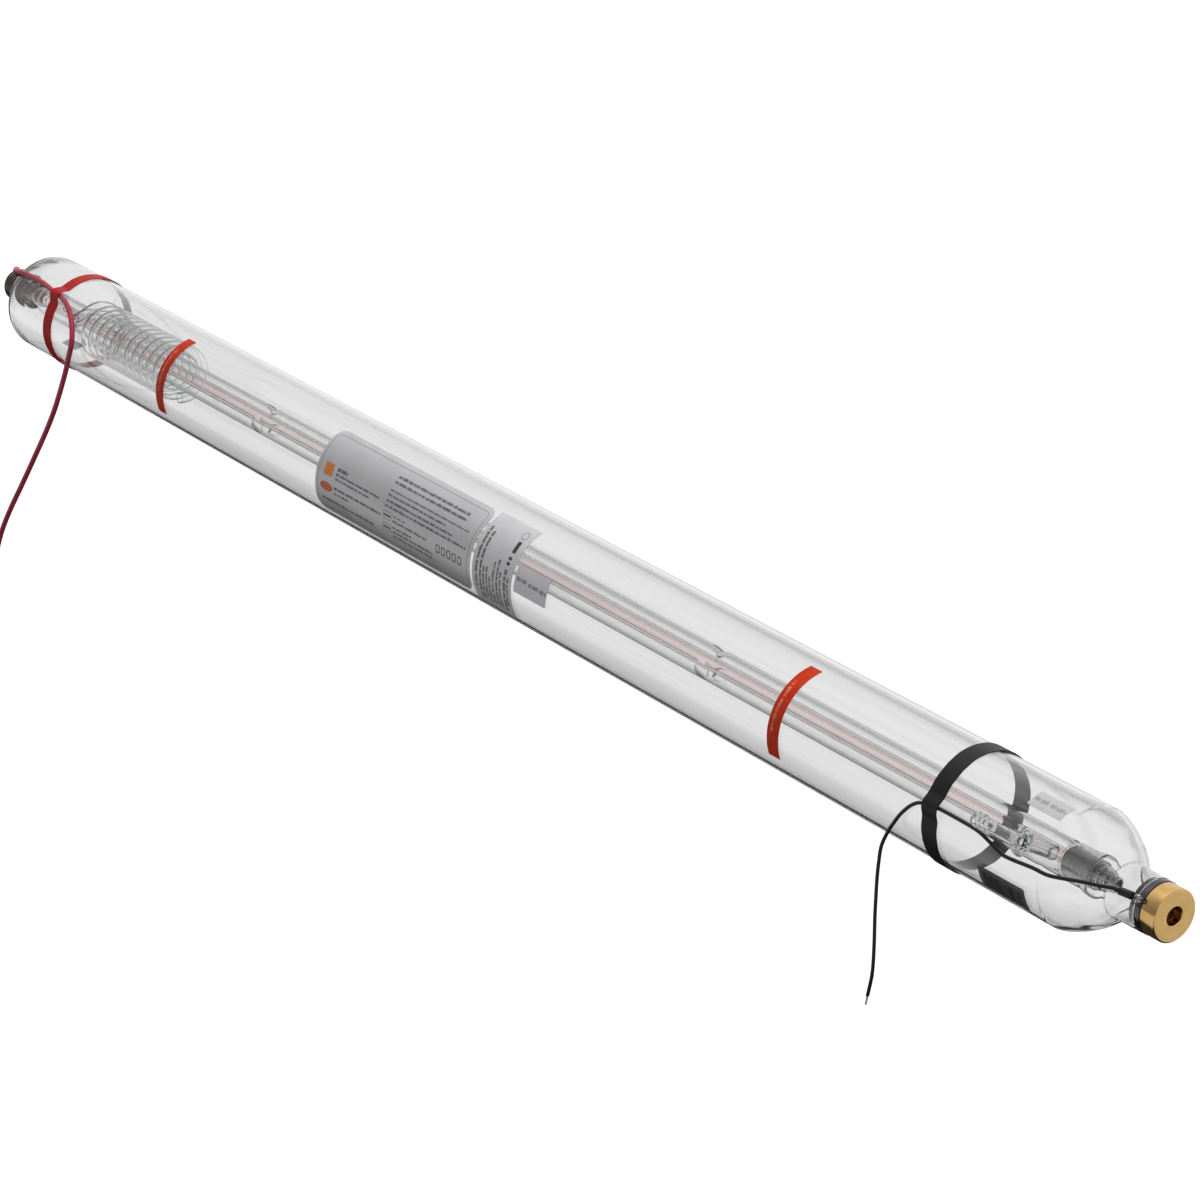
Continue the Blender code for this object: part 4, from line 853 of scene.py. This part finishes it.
MAIN_ROWS = [
    (-137.5, -123.5, 30.5, 33.5), (-137.5, -77, 35.2, 37.1), (-137.5, -89.5, 39, 40.7),
    (-137.5, -73, 45.7, 47.9), (-137.5, -117, 50, 51.9), (-155, -83, 57.5, 59.6),
    (-68.5, 25, 13.9, 16.4), (-68.5, 26, 18.7, 20.9), (-68.5, 35, 25.7, 27.1),
    (-68.5, 7, 29.4, 30.9), (-68.5, 19, 33.5, 35.2), (-68.5, 38, 37.3, 39.1),
    (-56.5, -39.5, 42.9, 44.1), (-56, -11, 46.1, 47.9), (-56.5, -31, 50.9, 52.6),
    (-56, -3, 54.2, 56.1), (-56, -4.5, 58.1, 59.8),
]
CERTIFICATE_ROWS = [
    (14, 61, 52.4, 55.3), (17, 69, 57.6, 60.4), (43, 69, 61.8, 64.2), (42, 69, 65.6, 68.0),
    (48, 69, 69.6, 72.0), (36, 69, 73.8, 76.3), (33, 69, 78.3, 80.9), (41, 69, 82.2, 84.8),
    (37, 69, 87.2, 90.9), (42, 64, 91.8, 94.2),
]


def main_ink(u, v):
    """Two blocks of plain rows, a thin frame and some plain outlines. The ink's
    value is 1 for print; 2 to 3 marks the two orange patches."""
    ink = bars(u, v, rows_of_print(1, MAIN_ROWS) + [(-68.5, -59, 44.4, 45.6), (-68.5, -59, 53.4, 54.8)])
    outlines = [(-69, -58.5, 42.2, 47.6, 0.8, 0.5, 0.7), (-69, -58.5, 51.4, 57.0, 0.8, 0.5, 0.7)]
    outlines += [(2.2 + 7 * k, 6.4 + 7 * k, 46.2, 51.6, 1.0, 1.1, 0.9) for k in range(5)]
    outlines += [(-160.6, 41.6, 6.9, 66.0, 5.0, 0.9, 0.45)]
    for *box, corner, width, depth in outlines:
        ink = np.maximum(ink, depth * frame_line(u, v, *box, corner, width))
    oval = np.hypot((u + 148.2) / 8.6, (v - 48.7) / 3.4) < 1
    square = np.maximum(np.abs(u + 148.2) - 5.4, np.abs(v - 35.2) - 4.6) < 0
    return np.where(square, 2.2, np.where(oval, 2.6, ink))


def certificate_ink(u, v):
    """Rows that run round the tube, and three plain marks and a ring at one end."""
    marks = [(87.2, 91.2, 15, 24.5), (87.2, 91.0, 27.6, 30.0), (87.2, 91.0, 31.4, 33.8)]
    ring = np.abs(np.hypot(u - 88.6, v - 9.6) - 3.2) < 0.5
    return np.maximum(bars(u, v, rows_of_print(21, CERTIFICATE_ROWS, True) + marks), 0.5 * ring)


def strip_ink(u, v):
    """One row of plain marks near one edge of a strip, front and rear alike."""
    marks = rows_of_print(34, [(9, 46, 393.5, 396.0), (10, 48, -405.4, -403.0)], True)
    broken = 0.6 + 0.4 * np.sign(np.sin(v * 2 * math.pi / 1.6))
    return 0.55 * broken * bars(u, v, marks)


def small_ink(first, boxes, depth):
    """The ink of a small label: rows of marks, all of one depth."""
    marks = rows_of_print(first, boxes)
    return lambda u, v: depth * bars(u, v, marks)


side_ink = small_ink(31, [(103, 115, 37, 40), (117.5, 129.5, 37.2, 40.4), (131.5, 139, 37.6, 41)], 0.8)
outlet_ink = small_ink(36, [(617.5, 628.5, -0.2, 3.2), (631, 644, -0.2, 3.2)], 0.7)
inlet_ink = small_ink(38, [(-659, -640, 125, 128.5)], 0.7)


def stock_ink(u, v):
    """Bars of uneven width side by side, within a lighter margin."""
    random = np.random.default_rng(5)
    edges = 600.2 + np.cumsum(random.uniform(0.45, 1.5, 60))
    lines = [(a, b, 61.5, 73.5) for a, b in zip(edges[::2], edges[1::2]) if b < 636.8]
    return 0.15 * bars(u, v, [(599.6, 637.2, 60.8, 74.0)]) + 0.85 * bars(u, v, lines, 0.15)


# %% [markdown]
# ### Laid on the glass
#
# Each tape goes all the way round and over its lead, where it rises in a fold.
# A hand lays it a little askew, and its edges are never quite straight. The
# strips and labels are patches, given by their place along the tube and by the
# two angles between which they lie.

# %% Tapes, strips and labels
TAPE = 0.0006


def tape(name, node, x, width, slant, lead_angle, lead_radius):
    """A closed band: x = x0 + w t + slant cos(a-a0), and its radius rises by a
    cosine-squared fold where it goes over the lead."""
    sides, columns = 288, 14
    angle = circle(sides) + math.radians(lead_angle)
    off = (angle - math.radians(lead_angle) + math.pi) % (2 * math.pi) - math.pi
    half = 0.009 / RADIUS
    fold = np.where(np.abs(off) < half, np.cos(math.pi / 2 * np.clip(off / half, -1, 1)) ** 2, 0.0)
    low = RADIUS + GAP + (2 * lead_radius + 2 * GAP) * fold
    t = np.linspace(-0.5, 0.5, columns)
    edge = 0.00012 * np.sin(9 * angle + 1.0) + 0.00008 * np.sin(23 * angle)
    xs = x + t[None, :] * width * 0.985 + (slant * np.cos(off) + edge)[:, None]
    top = on_tube(xs, (low + TAPE)[:, None], np.degrees(angle)[:, None])
    under = on_tube(xs[:, ::-1], low[:, None], np.degrees(angle)[:, None])
    grid = np.concatenate([top, under], 1)
    stand_for(piece_from_grid(name, grid, closed=(True, True)), node, slot=node, sharp=40)


tape("black_vinyl_tape", "black_tape", 0.5502, 0.0142, 0.0024, 161, BLACK_RADIUS)
tape("red_polyester_tape", "red_tape", -0.5955, 0.0135, 0.0020, 132.5, RED_RADIUS)
FINE, SQUARE = 0.0004, 0.0004
# Piece, solid, slot, x from and to, angle from and to, corner, ink, fineness.
STRIPS_AND_LABELS = (
    ("front_red_strip", "front_support_strip", "red_vinyl", 0.3907, 0.4023, 98, 198.5, 0, strip_ink, 0.0005),
    ("rear_red_strip", "rear_support_strip", "red_vinyl", -0.4083, -0.3967, 102, 201.5, 0, strip_ink, 0.0005),
    ("brushed_main_label", "main_label", "silver_label", -0.164, 0.0455, 111, 206.5, 0.009,
     main_ink, 0.00043),
    ("certificate_plate", "certificate_label", "silver_label", 0.0488, 0.0975, 109.5, 212.5, SQUARE,
     certificate_ink, FINE),
    ("orientation_label", "side_up_label", "silver_label", 0.101, 0.1396, 148.3, 177, SQUARE, side_ink, FINE),
    ("outlet_paper_label", "outlet_label", "paper_label", 0.616, 0.645, 101, 119.2, SQUARE,
     outlet_ink, 0.0003),
    ("inlet_paper_label", "inlet_label", "paper_label", -0.6615, -0.6375, 280, 294.3, SQUARE,
     inlet_ink, FINE),
    ("dark_stock_label", "stock_label", "dark_label", 0.597, 0.639, 190, 214.5, 0.0015, stock_ink, FINE),
)
for patch in STRIPS_AND_LABELS:
    skin(*patch)

# %% [markdown]
# ## Materials
#
# Colours are written as they look on a screen, and one function turns them to
# the linear values that a shader takes. One more adds a node: it sets the
# node's settings, and each input is either a value or a link. Patterns read
# Object coordinates, in metres, so that their scale is the real one.

# %% Helpers for materials
def colour(code):
    """sRGB hex to linear: c/12.92 below 0.04045, else ((c+0.055)/1.055)^2.4."""
    c = np.array([int(code[k : k + 2], 16) for k in (1, 3, 5)]) / 255
    return (*np.where(c <= 0.04045, c / 12.92, ((c + 0.055) / 1.055) ** 2.4).tolist(), 1.0)


def add(tree, kind, inputs=None, **settings):
    """Add one node, set it up, and link or set its inputs by name or number."""
    node = tree.nodes.new("ShaderNode" + kind)
    for key, value in settings.items():
        setattr(node, key, value)
    for key, value in (inputs or {}).items():
        if isinstance(value, bpy.types.NodeSocket):
            tree.links.new(value, node.inputs[key])
        else:
            node.inputs[key].default_value = value
    return node


def calc(tree, operation, *values):
    """The result of a Math node; each value is a number or a link."""
    return add(tree, "Math", dict(enumerate(values)), operation=operation).outputs[0]


def remap(tree, value, low, high, first=0.0, last=1.0, **settings):
    """A value that goes from first to last as another goes from low to high."""
    return add(tree, "MapRange", {0: value, 1: low, 2: high, 3: first, 4: last}, **settings).outputs[0]


def mix(tree, share, first, last):
    """Between two values, by the share that the last one has."""
    return add(tree, "Mix", {0: share, 2: first, 3: last}).outputs[0]


def blend(tree, share, first, last):
    """The same between two colours."""
    return add(tree, "Mix", {0: share, 6: first, 7: last}, data_type="RGBA").outputs[2]


def blank(name):
    """An empty material with its output, and the object's own coordinates."""
    material = bpy.data.materials.new(name)
    material.use_nodes = True
    tree = material.node_tree
    tree.nodes.clear()
    output = tree.nodes.new("ShaderNodeOutputMaterial")
    place = add(tree, "TexCoord").outputs["Object"]
    return material, tree, output, place


def tones(tree, factor, dark, light, low=0.0, high=1.0):
    """A colour between dark and light as the factor goes from low to high."""
    return blend(tree, remap(tree, factor, low, high), colour(dark), colour(light))


def finish(material, pieces):
    """Give the named pieces their material."""
    for name in pieces:
        bpy.data.objects[name].data.materials.append(material)


# %% [markdown]
# ### Glass
#
# Clear borosilicate glass: index 1.47, almost without colour. Tube is drawn
# from a melt, so faint streaks run along it and its thickness is a little
# uneven; that bends the light softly. For shadow rays it turns into a clear
# filter, so lamps shine through it.
#
# At its edges a tube mirrors the dark things of a room, and a white scene has
# none. So the tint is darkened where the surface is seen at a flat angle: a
# painted reflection of those dark things. The inner tubes are seen through the
# envelope and a lower index makes them bend light less, which keeps what lies
# behind them as clear as in the photograph.

# %% Glass
def glass(name, dark, light, streak, ior, rim, start):
    """Drawn glass tube. To the eye: clear, with fine long streaks, and darker by
    the share rim where it is seen edge-on, a painted reflection of dark surroundings."""
    material, tree, output, place = blank(name)
    long = add(tree, "Mapping", {0: place, 3: (3.0, 260.0, 260.0)}).outputs[0]
    drawn = add(tree, "TexNoise", {"Vector": long, "Scale": 1.0, "Detail": 2.0})
    bump = add(tree, "Bump", {"Strength": streak, "Distance": 0.0004, "Height": drawn.outputs[0]})
    tint = tones(tree, drawn.outputs[0], dark, light, 0.3, 0.7)
    # Painted reflection: the tint is darkened towards a grazing view, standing in for the dark surroundings
    # that a real glass edge mirrors.
    facing = add(tree, "LayerWeight", {"Blend": 0.5}).outputs["Facing"]
    painted_edge_shade = remap(tree, facing, start, 0.92, 1.0, 1.0 - rim)
    edge_shaded_tint = add(tree, "VectorMath", {0: tint, 3: painted_edge_shade}, operation="SCALE").outputs[0]
    body = add(
        tree, "BsdfPrincipled",
        {"Base Color": edge_shaded_tint, "Roughness": 0.0, "IOR": ior, "Transmission Weight": 1.0,
         "Normal": bump.outputs[0]},
    )
    path = add(tree, "LightPath")
    clear = add(tree, "BsdfTransparent", {0: tint})
    shadow = path.outputs["Is Shadow Ray"]
    mixed = add(tree, "MixShader", {0: shadow, 1: body.outputs[0], 2: clear.outputs[0]})
    tree.links.new(mixed.outputs[0], output.inputs[0])
    return material


# Name, dark, light, streak, index, rim (share of painted edge shade), where it starts, and the pieces.
GLASSES = (
    ("borosilicate_glass_drawn", "#F4F4F4", "#F8F8F8", 0.02, 1.47, 0.1, 0.62, ["blown_envelope"]),
    ("borosilicate_glass_flame_worked", "#FDFEFE", "#FFFFFF", 0.02, 1.38, 0.97, 0.62,
     ["dimpled_water_jacket", "cathode_mouth", "cathode_glass_bead"]),
    ("borosilicate_glass_capillary", "#FFF3F2", "#FFFAFA", 0.01, 1.36, 0.97, 0.62, ["discharge_capillary"]),
    ("borosilicate_glass_bent_tube", "#FDFEFE", "#FFFFFF", 0.01, 1.33, 0.97, 0.45, ["gas_return_spiral"]),
    ("borosilicate_glass_blown_arm", "#F8FAF9", "#FFFFFF", 0.04, 1.47, 0.9, 0.45,
     ["outlet_arm", "inlet_arm"]),
)
for *values, pieces in GLASSES:
    finish(glass(*values), pieces)
print("glasses:", len(GLASSES))

# %% [markdown]
# ### Turned metal
#
# A lathe tool leaves a spiral groove, a few hundredths of a millimetre deep at
# most. Its lines are circles about the axis on a face, and rings on a side, so
# one number numbers them on both: the radius plus the place along the tube.
# Noise of that number alone gives grooves of uneven depth, and the same noise
# lets the colour and the roughness waver. A slow second noise is the tarnish.

# %% Turned metal
def turned_metal(name, dark, light, rough, groove, pitch, tarnish):
    """Lathe-turned metal. To the eye: satin, with fine circular lines and a
    slow change of tone where hands and air have dulled it."""
    material, tree, output, place = blank(name)
    x, y, z = add(tree, "SeparateXYZ", {0: place}).outputs
    squares = calc(tree, "MULTIPLY_ADD", z, z, calc(tree, "MULTIPLY", y, y))
    along = calc(tree, "ADD", calc(tree, "SQRT", squares), x)
    rings = add(tree, "TexNoise", {"W": along, "Scale": pitch, "Detail": 2.0}, noise_dimensions="1D")
    rings = rings.outputs[0]
    slow = add(tree, "TexNoise", {"Vector": place, "Scale": 140.0, "Detail": 3.0}).outputs[0]
    both = mix(tree, tarnish, rings, slow)
    bump = add(tree, "Bump", {"Strength": groove, "Distance": 0.0001, "Height": rings}).outputs[0]
    worn = remap(tree, both, 0.3, 0.7, max(rough - 0.08, 0.02), rough + 0.08)
    tint = tones(tree, both, dark, light, 0.35, 0.65)
    inputs = {"Base Color": tint, "Metallic": 1.0, "Roughness": worn, "Normal": bump}
    body = add(tree, "BsdfPrincipled", inputs)
    tree.links.new(body.outputs[0], output.inputs[0])
    return material


# Name, dark, light, roughness, depth and number of grooves, tarnish, pieces.
METALS = (
    ("brass_turned_satin", "#C69C58", "#E2C084", 0.11, 0.015, 2200.0, 0.3, ["brass_output_head"]),
    ("bronze_dark_oxidised", "#2E2822", "#4A4238", 0.30, 0.15, 3500.0, 0.5,
     ["bronze_rear_cap", "bronze_neck_collar", "anode_bead"]),
    ("steel_ring_polished_blued", "#47454B", "#6B6972", 0.12, 0.05, 3500.0, 0.4, ["steel_seal_ring"]),
    ("nickel_sheet_annealed", "#CCCCCA", "#E0E0DE", 0.42, 0.15, 3500.0, 0.4,
     ["cathode_cylinder", "anode_cylinder", "cathode_feed_pin", "cathode_feed_wire"]),
    ("nickel_turned_polished", "#BCBCBC", "#DCDCDC", 0.08, 0.04, 3500.0, 0.2, ["stepped_cathode_collar"]),
    ("silicon_mirror_gold_coated", "#B9964F", "#D9B867", 0.06, 0.01, 3500.0, 0.8, ["back_mirror"]),
    ("zinc_selenide_coupler_coated", "#4A3210", "#6E4E1E", 0.10, 0.01, 3500.0, 0.8, ["coupling_mirror"]),
    ("copper_strands_tinned", "#A8A298", "#CFCBC2", 0.25, 0.1, 3500.0, 0.6,
     ["black_lead_tinned_tip", "red_lead_tinned_tip"]),
)
for *values, pieces in METALS:
    finish(turned_metal(*values), pieces)
print("metals:", len(METALS))

# %% [markdown]
# ### Films, papers and rubbers
#
# Vinyl and polyester tapes, printed vinyl strips, brushed silver film, paper
# and the two insulations are all thin plastics or papers with a skin texture.
# A stretched noise gives the brushing or the stretch marks, a fine one the
# grain, and the ink attribute mixes in the print.

# %% Films and rubbers
def film(name, dark, light, rough, scale, bump, metal=0.0, ink=None, patch=None, soft=0.0, shine=0.5):
    """A printed or plain film or rubber skin. To the eye: an uneven tone, a
    grain that breaks the highlight, and print that is duller than its ground."""
    material, tree, output, place = blank(name)
    grain_at = add(tree, "Mapping", {0: place, 3: scale}).outputs[0]
    grain = add(tree, "TexNoise", {"Vector": grain_at, "Scale": 1.0, "Detail": 4.0}).outputs[0]
    slow = add(tree, "TexNoise", {"Vector": place, "Scale": 45.0, "Detail": 2.0}).outputs[0]
    both = mix(tree, 0.5, grain, slow)
    tint = tones(tree, both, dark, light, 0.35, 0.65)
    worn = remap(tree, both, 0.3, 0.7, max(rough - 0.06, 0.05), rough + 0.06)
    inputs = {"Roughness": worn, "Metallic": metal, "Specular IOR Level": shine}
    if ink:
        value = add(tree, "Attribute", attribute_name="ink").outputs["Fac"]
        share = calc(tree, "MINIMUM", value, 1.0)
        tint = blend(tree, share, tint, colour(ink))
        if patch:
            orange = calc(tree, "GREATER_THAN", value, 1.5)
            deeper = remap(tree, value, 2.2, 2.6)
            tint = blend(tree, orange, tint, blend(tree, deeper, colour(patch[0]), colour(patch[1])))
        if metal:
            inputs["Metallic"] = mix(tree, share, metal, 0.0)
    if soft:
        inputs.update({"Subsurface Weight": soft, "Subsurface Radius": (0.002, 0.0006, 0.0005)})
    inputs["Normal"] = add(tree, "Bump", {"Strength": bump, "Distance": 0.0001, "Height": grain}).outputs[0]
    inputs["Base Color"] = tint
    body = add(tree, "BsdfPrincipled", inputs)
    tree.links.new(body.outputs[0], output.inputs[0])
    return material


BRUSHED, PAPER = (20, 2500, 2500), (900, 900, 900)
PATCHES = ("#D8761E", "#B8560F")
# Name, dark, light, roughness, scale and strength of the grain, what else is
# special about it, and the pieces.
FILMS = (
    ("vinyl_tape_black_satin", "#060607", "#0E0E10", 0.50, PAPER, 0.12, {"shine": 0.3}, ["black_vinyl_tape"]),
    ("polyester_tape_dark_red", "#90060C", "#B01018", 0.45, (60, 700, 700), 0.10, {"shine": 0.12},
     ["red_polyester_tape"]),
    ("vinyl_strip_orange_red_printed", "#A82206", "#C63A18", 0.50, (300, 300, 300), 0.05,
     {"ink": "#E8B8A8", "shine": 0.12}, ["front_red_strip", "rear_red_strip"]),
    ("polyester_label_brushed_silver", "#B4B4B6", "#C2C2C4", 0.40, BRUSHED, 0.04,
     {"metal": 0.45, "ink": "#1E1E22", "patch": PATCHES}, ["brushed_main_label"]),
    ("polyester_label_pale_silver", "#BBBBBD", "#C9C9CB", 0.45, (2500, 2500, 2500), 0.03,
     {"metal": 0.2, "ink": "#26262A"}, ["certificate_plate"]),
    ("polyester_label_violet_grey", "#BEBCC2", "#CAC8CE", 0.45, BRUSHED, 0.04,
     {"metal": 0.15, "ink": "#3C3C42"}, ["orientation_label"]),
    ("paper_label_translucent_white", "#AAABAA", "#BABBBA", 0.60, PAPER, 0.06, {"ink": "#6A6A70"},
     ["outlet_paper_label"]),
    ("paper_label_grey_green", "#8E9A90", "#A9B3AA", 0.60, PAPER, 0.06, {"ink": "#4A504C"},
     ["inlet_paper_label"]),
    ("polyester_label_dark_barred", "#4A4A4E", "#5A5A5E", 0.45, (400, 400, 400), 0.05,
     {"ink": "#08080A", "shine": 0.3}, ["dark_stock_label"]),
    ("pvc_insulation_black", "#070708", "#111112", 0.40, (60, 1200, 1200), 0.05, {"shine": 0.4},
     ["black_lead_wire", "black_lead_sleeve"]),
    ("silicone_rubber_crimson", "#8A1530", "#B02A48", 0.42, (500, 500, 500), 0.06, {"soft": 0.15},
     ["red_lead_wire", "red_lead_sleeve"]),
)
for *values, special, pieces in FILMS:
    finish(film(*values, **special), pieces)
print("films:", len(FILMS), "- all materials:", len(bpy.data.materials))

# %% [markdown]
# ## Floor, world and lamps
#
# The photograph is a product picture on plain white, lit from a soft source
# above. The floor lies under the hanging leads. What the camera sees of it is
# white: a glow on top of its diffuse paint leaves hardly any shadow.
#
# Clear glass shows nothing but what lies behind it and what it mirrors. A
# photographer sets white and dark cards round it for that. Here the floor and
# the world have levels of grey that only glass and metal see: one set for rays
# that went through glass and one for mirrored rays. A ray that glass lets
# through counts as glossy too, so the transmission mark chooses between them.

# %% Floor
def smooth_step(tree, value, low, high, first, last):
    """A value that goes smoothly from first to last."""
    return remap(tree, value, low, high, first, last, interpolation_type="SMOOTHSTEP")


def total(tree, first, *others):
    """The sum of all the values."""
    for value in others:
        first = calc(tree, "ADD", first, value)
    return first


FLOOR_Z, FLOOR_HALF = -0.40, 14.0
floor_mesh = bpy.data.meshes.new("floor")
floor_mesh.from_pydata(
    [(x * FLOOR_HALF, y * FLOOR_HALF, FLOOR_Z) for x, y in ((-1, -1), (1, -1), (1, 1), (-1, 1))],
    [], [(0, 1, 2, 3)],
)
floor = bpy.data.objects.new("floor", floor_mesh)
scene.collection.objects.link(floor)
material, tree, output, place = blank("matte_white_table")
x, y, _ = add(tree, "SeparateXYZ", {0: place}).outputs
aside = calc(tree, "ABSOLUTE", y)
path = add(tree, "LightPath").outputs
# Across the floor: lit under the tube, a dark gap, a card, then greys beyond.
under = smooth_step(tree, y, 0.08, 0.12, 0.72, 0.02)
card = smooth_step(tree, y, 0.20, 0.30, 0.0, 0.70)
beside = smooth_step(tree, aside, 0.30, 0.48, 0.0, 0.24)
band = smooth_step(tree, aside, 0.74, 0.95, 0.0, -0.36)
far = smooth_step(tree, aside, 1.15, 1.50, 0.0, 0.20)
past_end = smooth_step(tree, x, -1.45, -1.05, 1.0, 0.0)
lit = mix(tree, past_end, total(tree, under, card, beside, band, far), 0.95)
# The turns of the coil bend a ray along the tube, so a dark card far past the
# rear end, on their side of a slanting line, draws a thin line on each turn.
slant = calc(tree, "MULTIPLY_ADD", y, 1.75, x)
reach = smooth_step(tree, x, -3.00, -2.50, 1.0, 0.0)
side = smooth_step(tree, slant, -0.95, -0.78, 0.98, 0.0)
seen_through = mix(tree, calc(tree, "MULTIPLY", reach, side), lit, 0.02)
mirrored = smooth_step(tree, aside, 0.30, 0.46, 0.05, 0.78)
strength = mix(tree, path["Is Transmission Ray"], mirrored, seen_through)
grain = add(tree, "TexNoise", {"Vector": place, "Scale": 300.0}).outputs[0]
paint = add(tree, "BsdfDiffuse", {0: tones(tree, grain, "#8A8A8A", "#8E8E8E")})
to_camera = calc(tree, "MULTIPLY", path["Is Camera Ray"], 0.90)
white = add(tree, "Emission", {0: colour("#FFFFFF"), 1: to_camera})
table = add(tree, "AddShader", {0: paint.outputs[0], 1: white.outputs[0]})
glow = add(tree, "Emission", {0: colour("#FFFFFF"), 1: strength})
both = add(tree, "MixShader", {0: path["Is Glossy Ray"], 1: table.outputs[0], 2: glow.outputs[0]})
tree.links.new(both.outputs[0], output.inputs[0])
floor_mesh.materials.append(material)
print("floor at", FLOOR_Z, "m,", 2 * FLOOR_HALF, "m wide")

# %% [markdown]
# ### World and lamps
#
# The world is white to the camera. To glass it is brightest low behind the tube
# and falls off upwards, with a dark card far behind the rear end. To metal it
# is darker on the camera's side, and bright overhead. Two soft lamps give the
# light that falls on films and rubber: the main one above, a weak one in front.

# %% World and lamps
world = bpy.data.worlds.new("studio")
scene.world = world
world.use_nodes = True
tree = world.node_tree
tree.nodes.clear()
direction = add(tree, "TexCoord").outputs["Generated"]
reach, depth, height = add(tree, "SeparateXYZ", {0: direction}).outputs
path = add(tree, "LightPath").outputs
upper = smooth_step(tree, height, 0.05, 0.80, 0.70, 0.25)
front = smooth_step(tree, depth, -0.25, 0.25, 0.75, 1.0)
dark_card = smooth_step(tree, reach, -0.90, -0.88, 0.05, 1.0)
seen_through = calc(tree, "MULTIPLY", dark_card, calc(tree, "MULTIPLY", upper, front))
behind = smooth_step(tree, depth, -0.85, 0.10, 0.30, 1.0)
overhead = smooth_step(tree, height, 0.70, 0.95, 0.0, 0.40)
indirect = mix(tree, path["Is Transmission Ray"], total(tree, behind, overhead), seen_through)
glossy = calc(tree, "MULTIPLY", path["Is Glossy Ray"], indirect)
diffuse = calc(tree, "MULTIPLY", path["Is Diffuse Ray"], 0.48)
strength = total(tree, path["Is Camera Ray"], glossy, diffuse)
sky = add(tree, "Background", {0: colour("#FFFFFF"), 1: strength})
tree.links.new(sky.outputs[0], add(tree, "OutputWorld").inputs[0])


def lamp(name, place, target, size, power):
    """A soft rectangular lamp that points at a target."""
    light = bpy.data.lights.new(name, "AREA")
    light.shape, light.size, light.size_y, light.energy = "RECTANGLE", size[0], size[1], power
    thing = bpy.data.objects.new(name, light)
    thing.location = place
    thing.rotation_euler = (Vector(target) - Vector(place)).to_track_quat("-Z", "Y").to_euler()
    thing.visible_glossy = thing.visible_transmission = False
    scene.collection.objects.link(thing)


lamp("key_above", (0.3, 0.7, 2.2), (0, 0, 0), (2.6, 1.0), 52.0)
lamp("fill_front", (1.6, -2.4, 1.4), (0.1, 0, 0), (1.8, 1.8), 10.0)
scene.cycles.max_bounces = 36
scene.cycles.transmission_bounces = 36
scene.cycles.transparent_max_bounces = 36
scene.cycles.glossy_bounces = 12
scene.view_settings.view_transform = "Standard"
print("lamps:", len(bpy.data.lights))
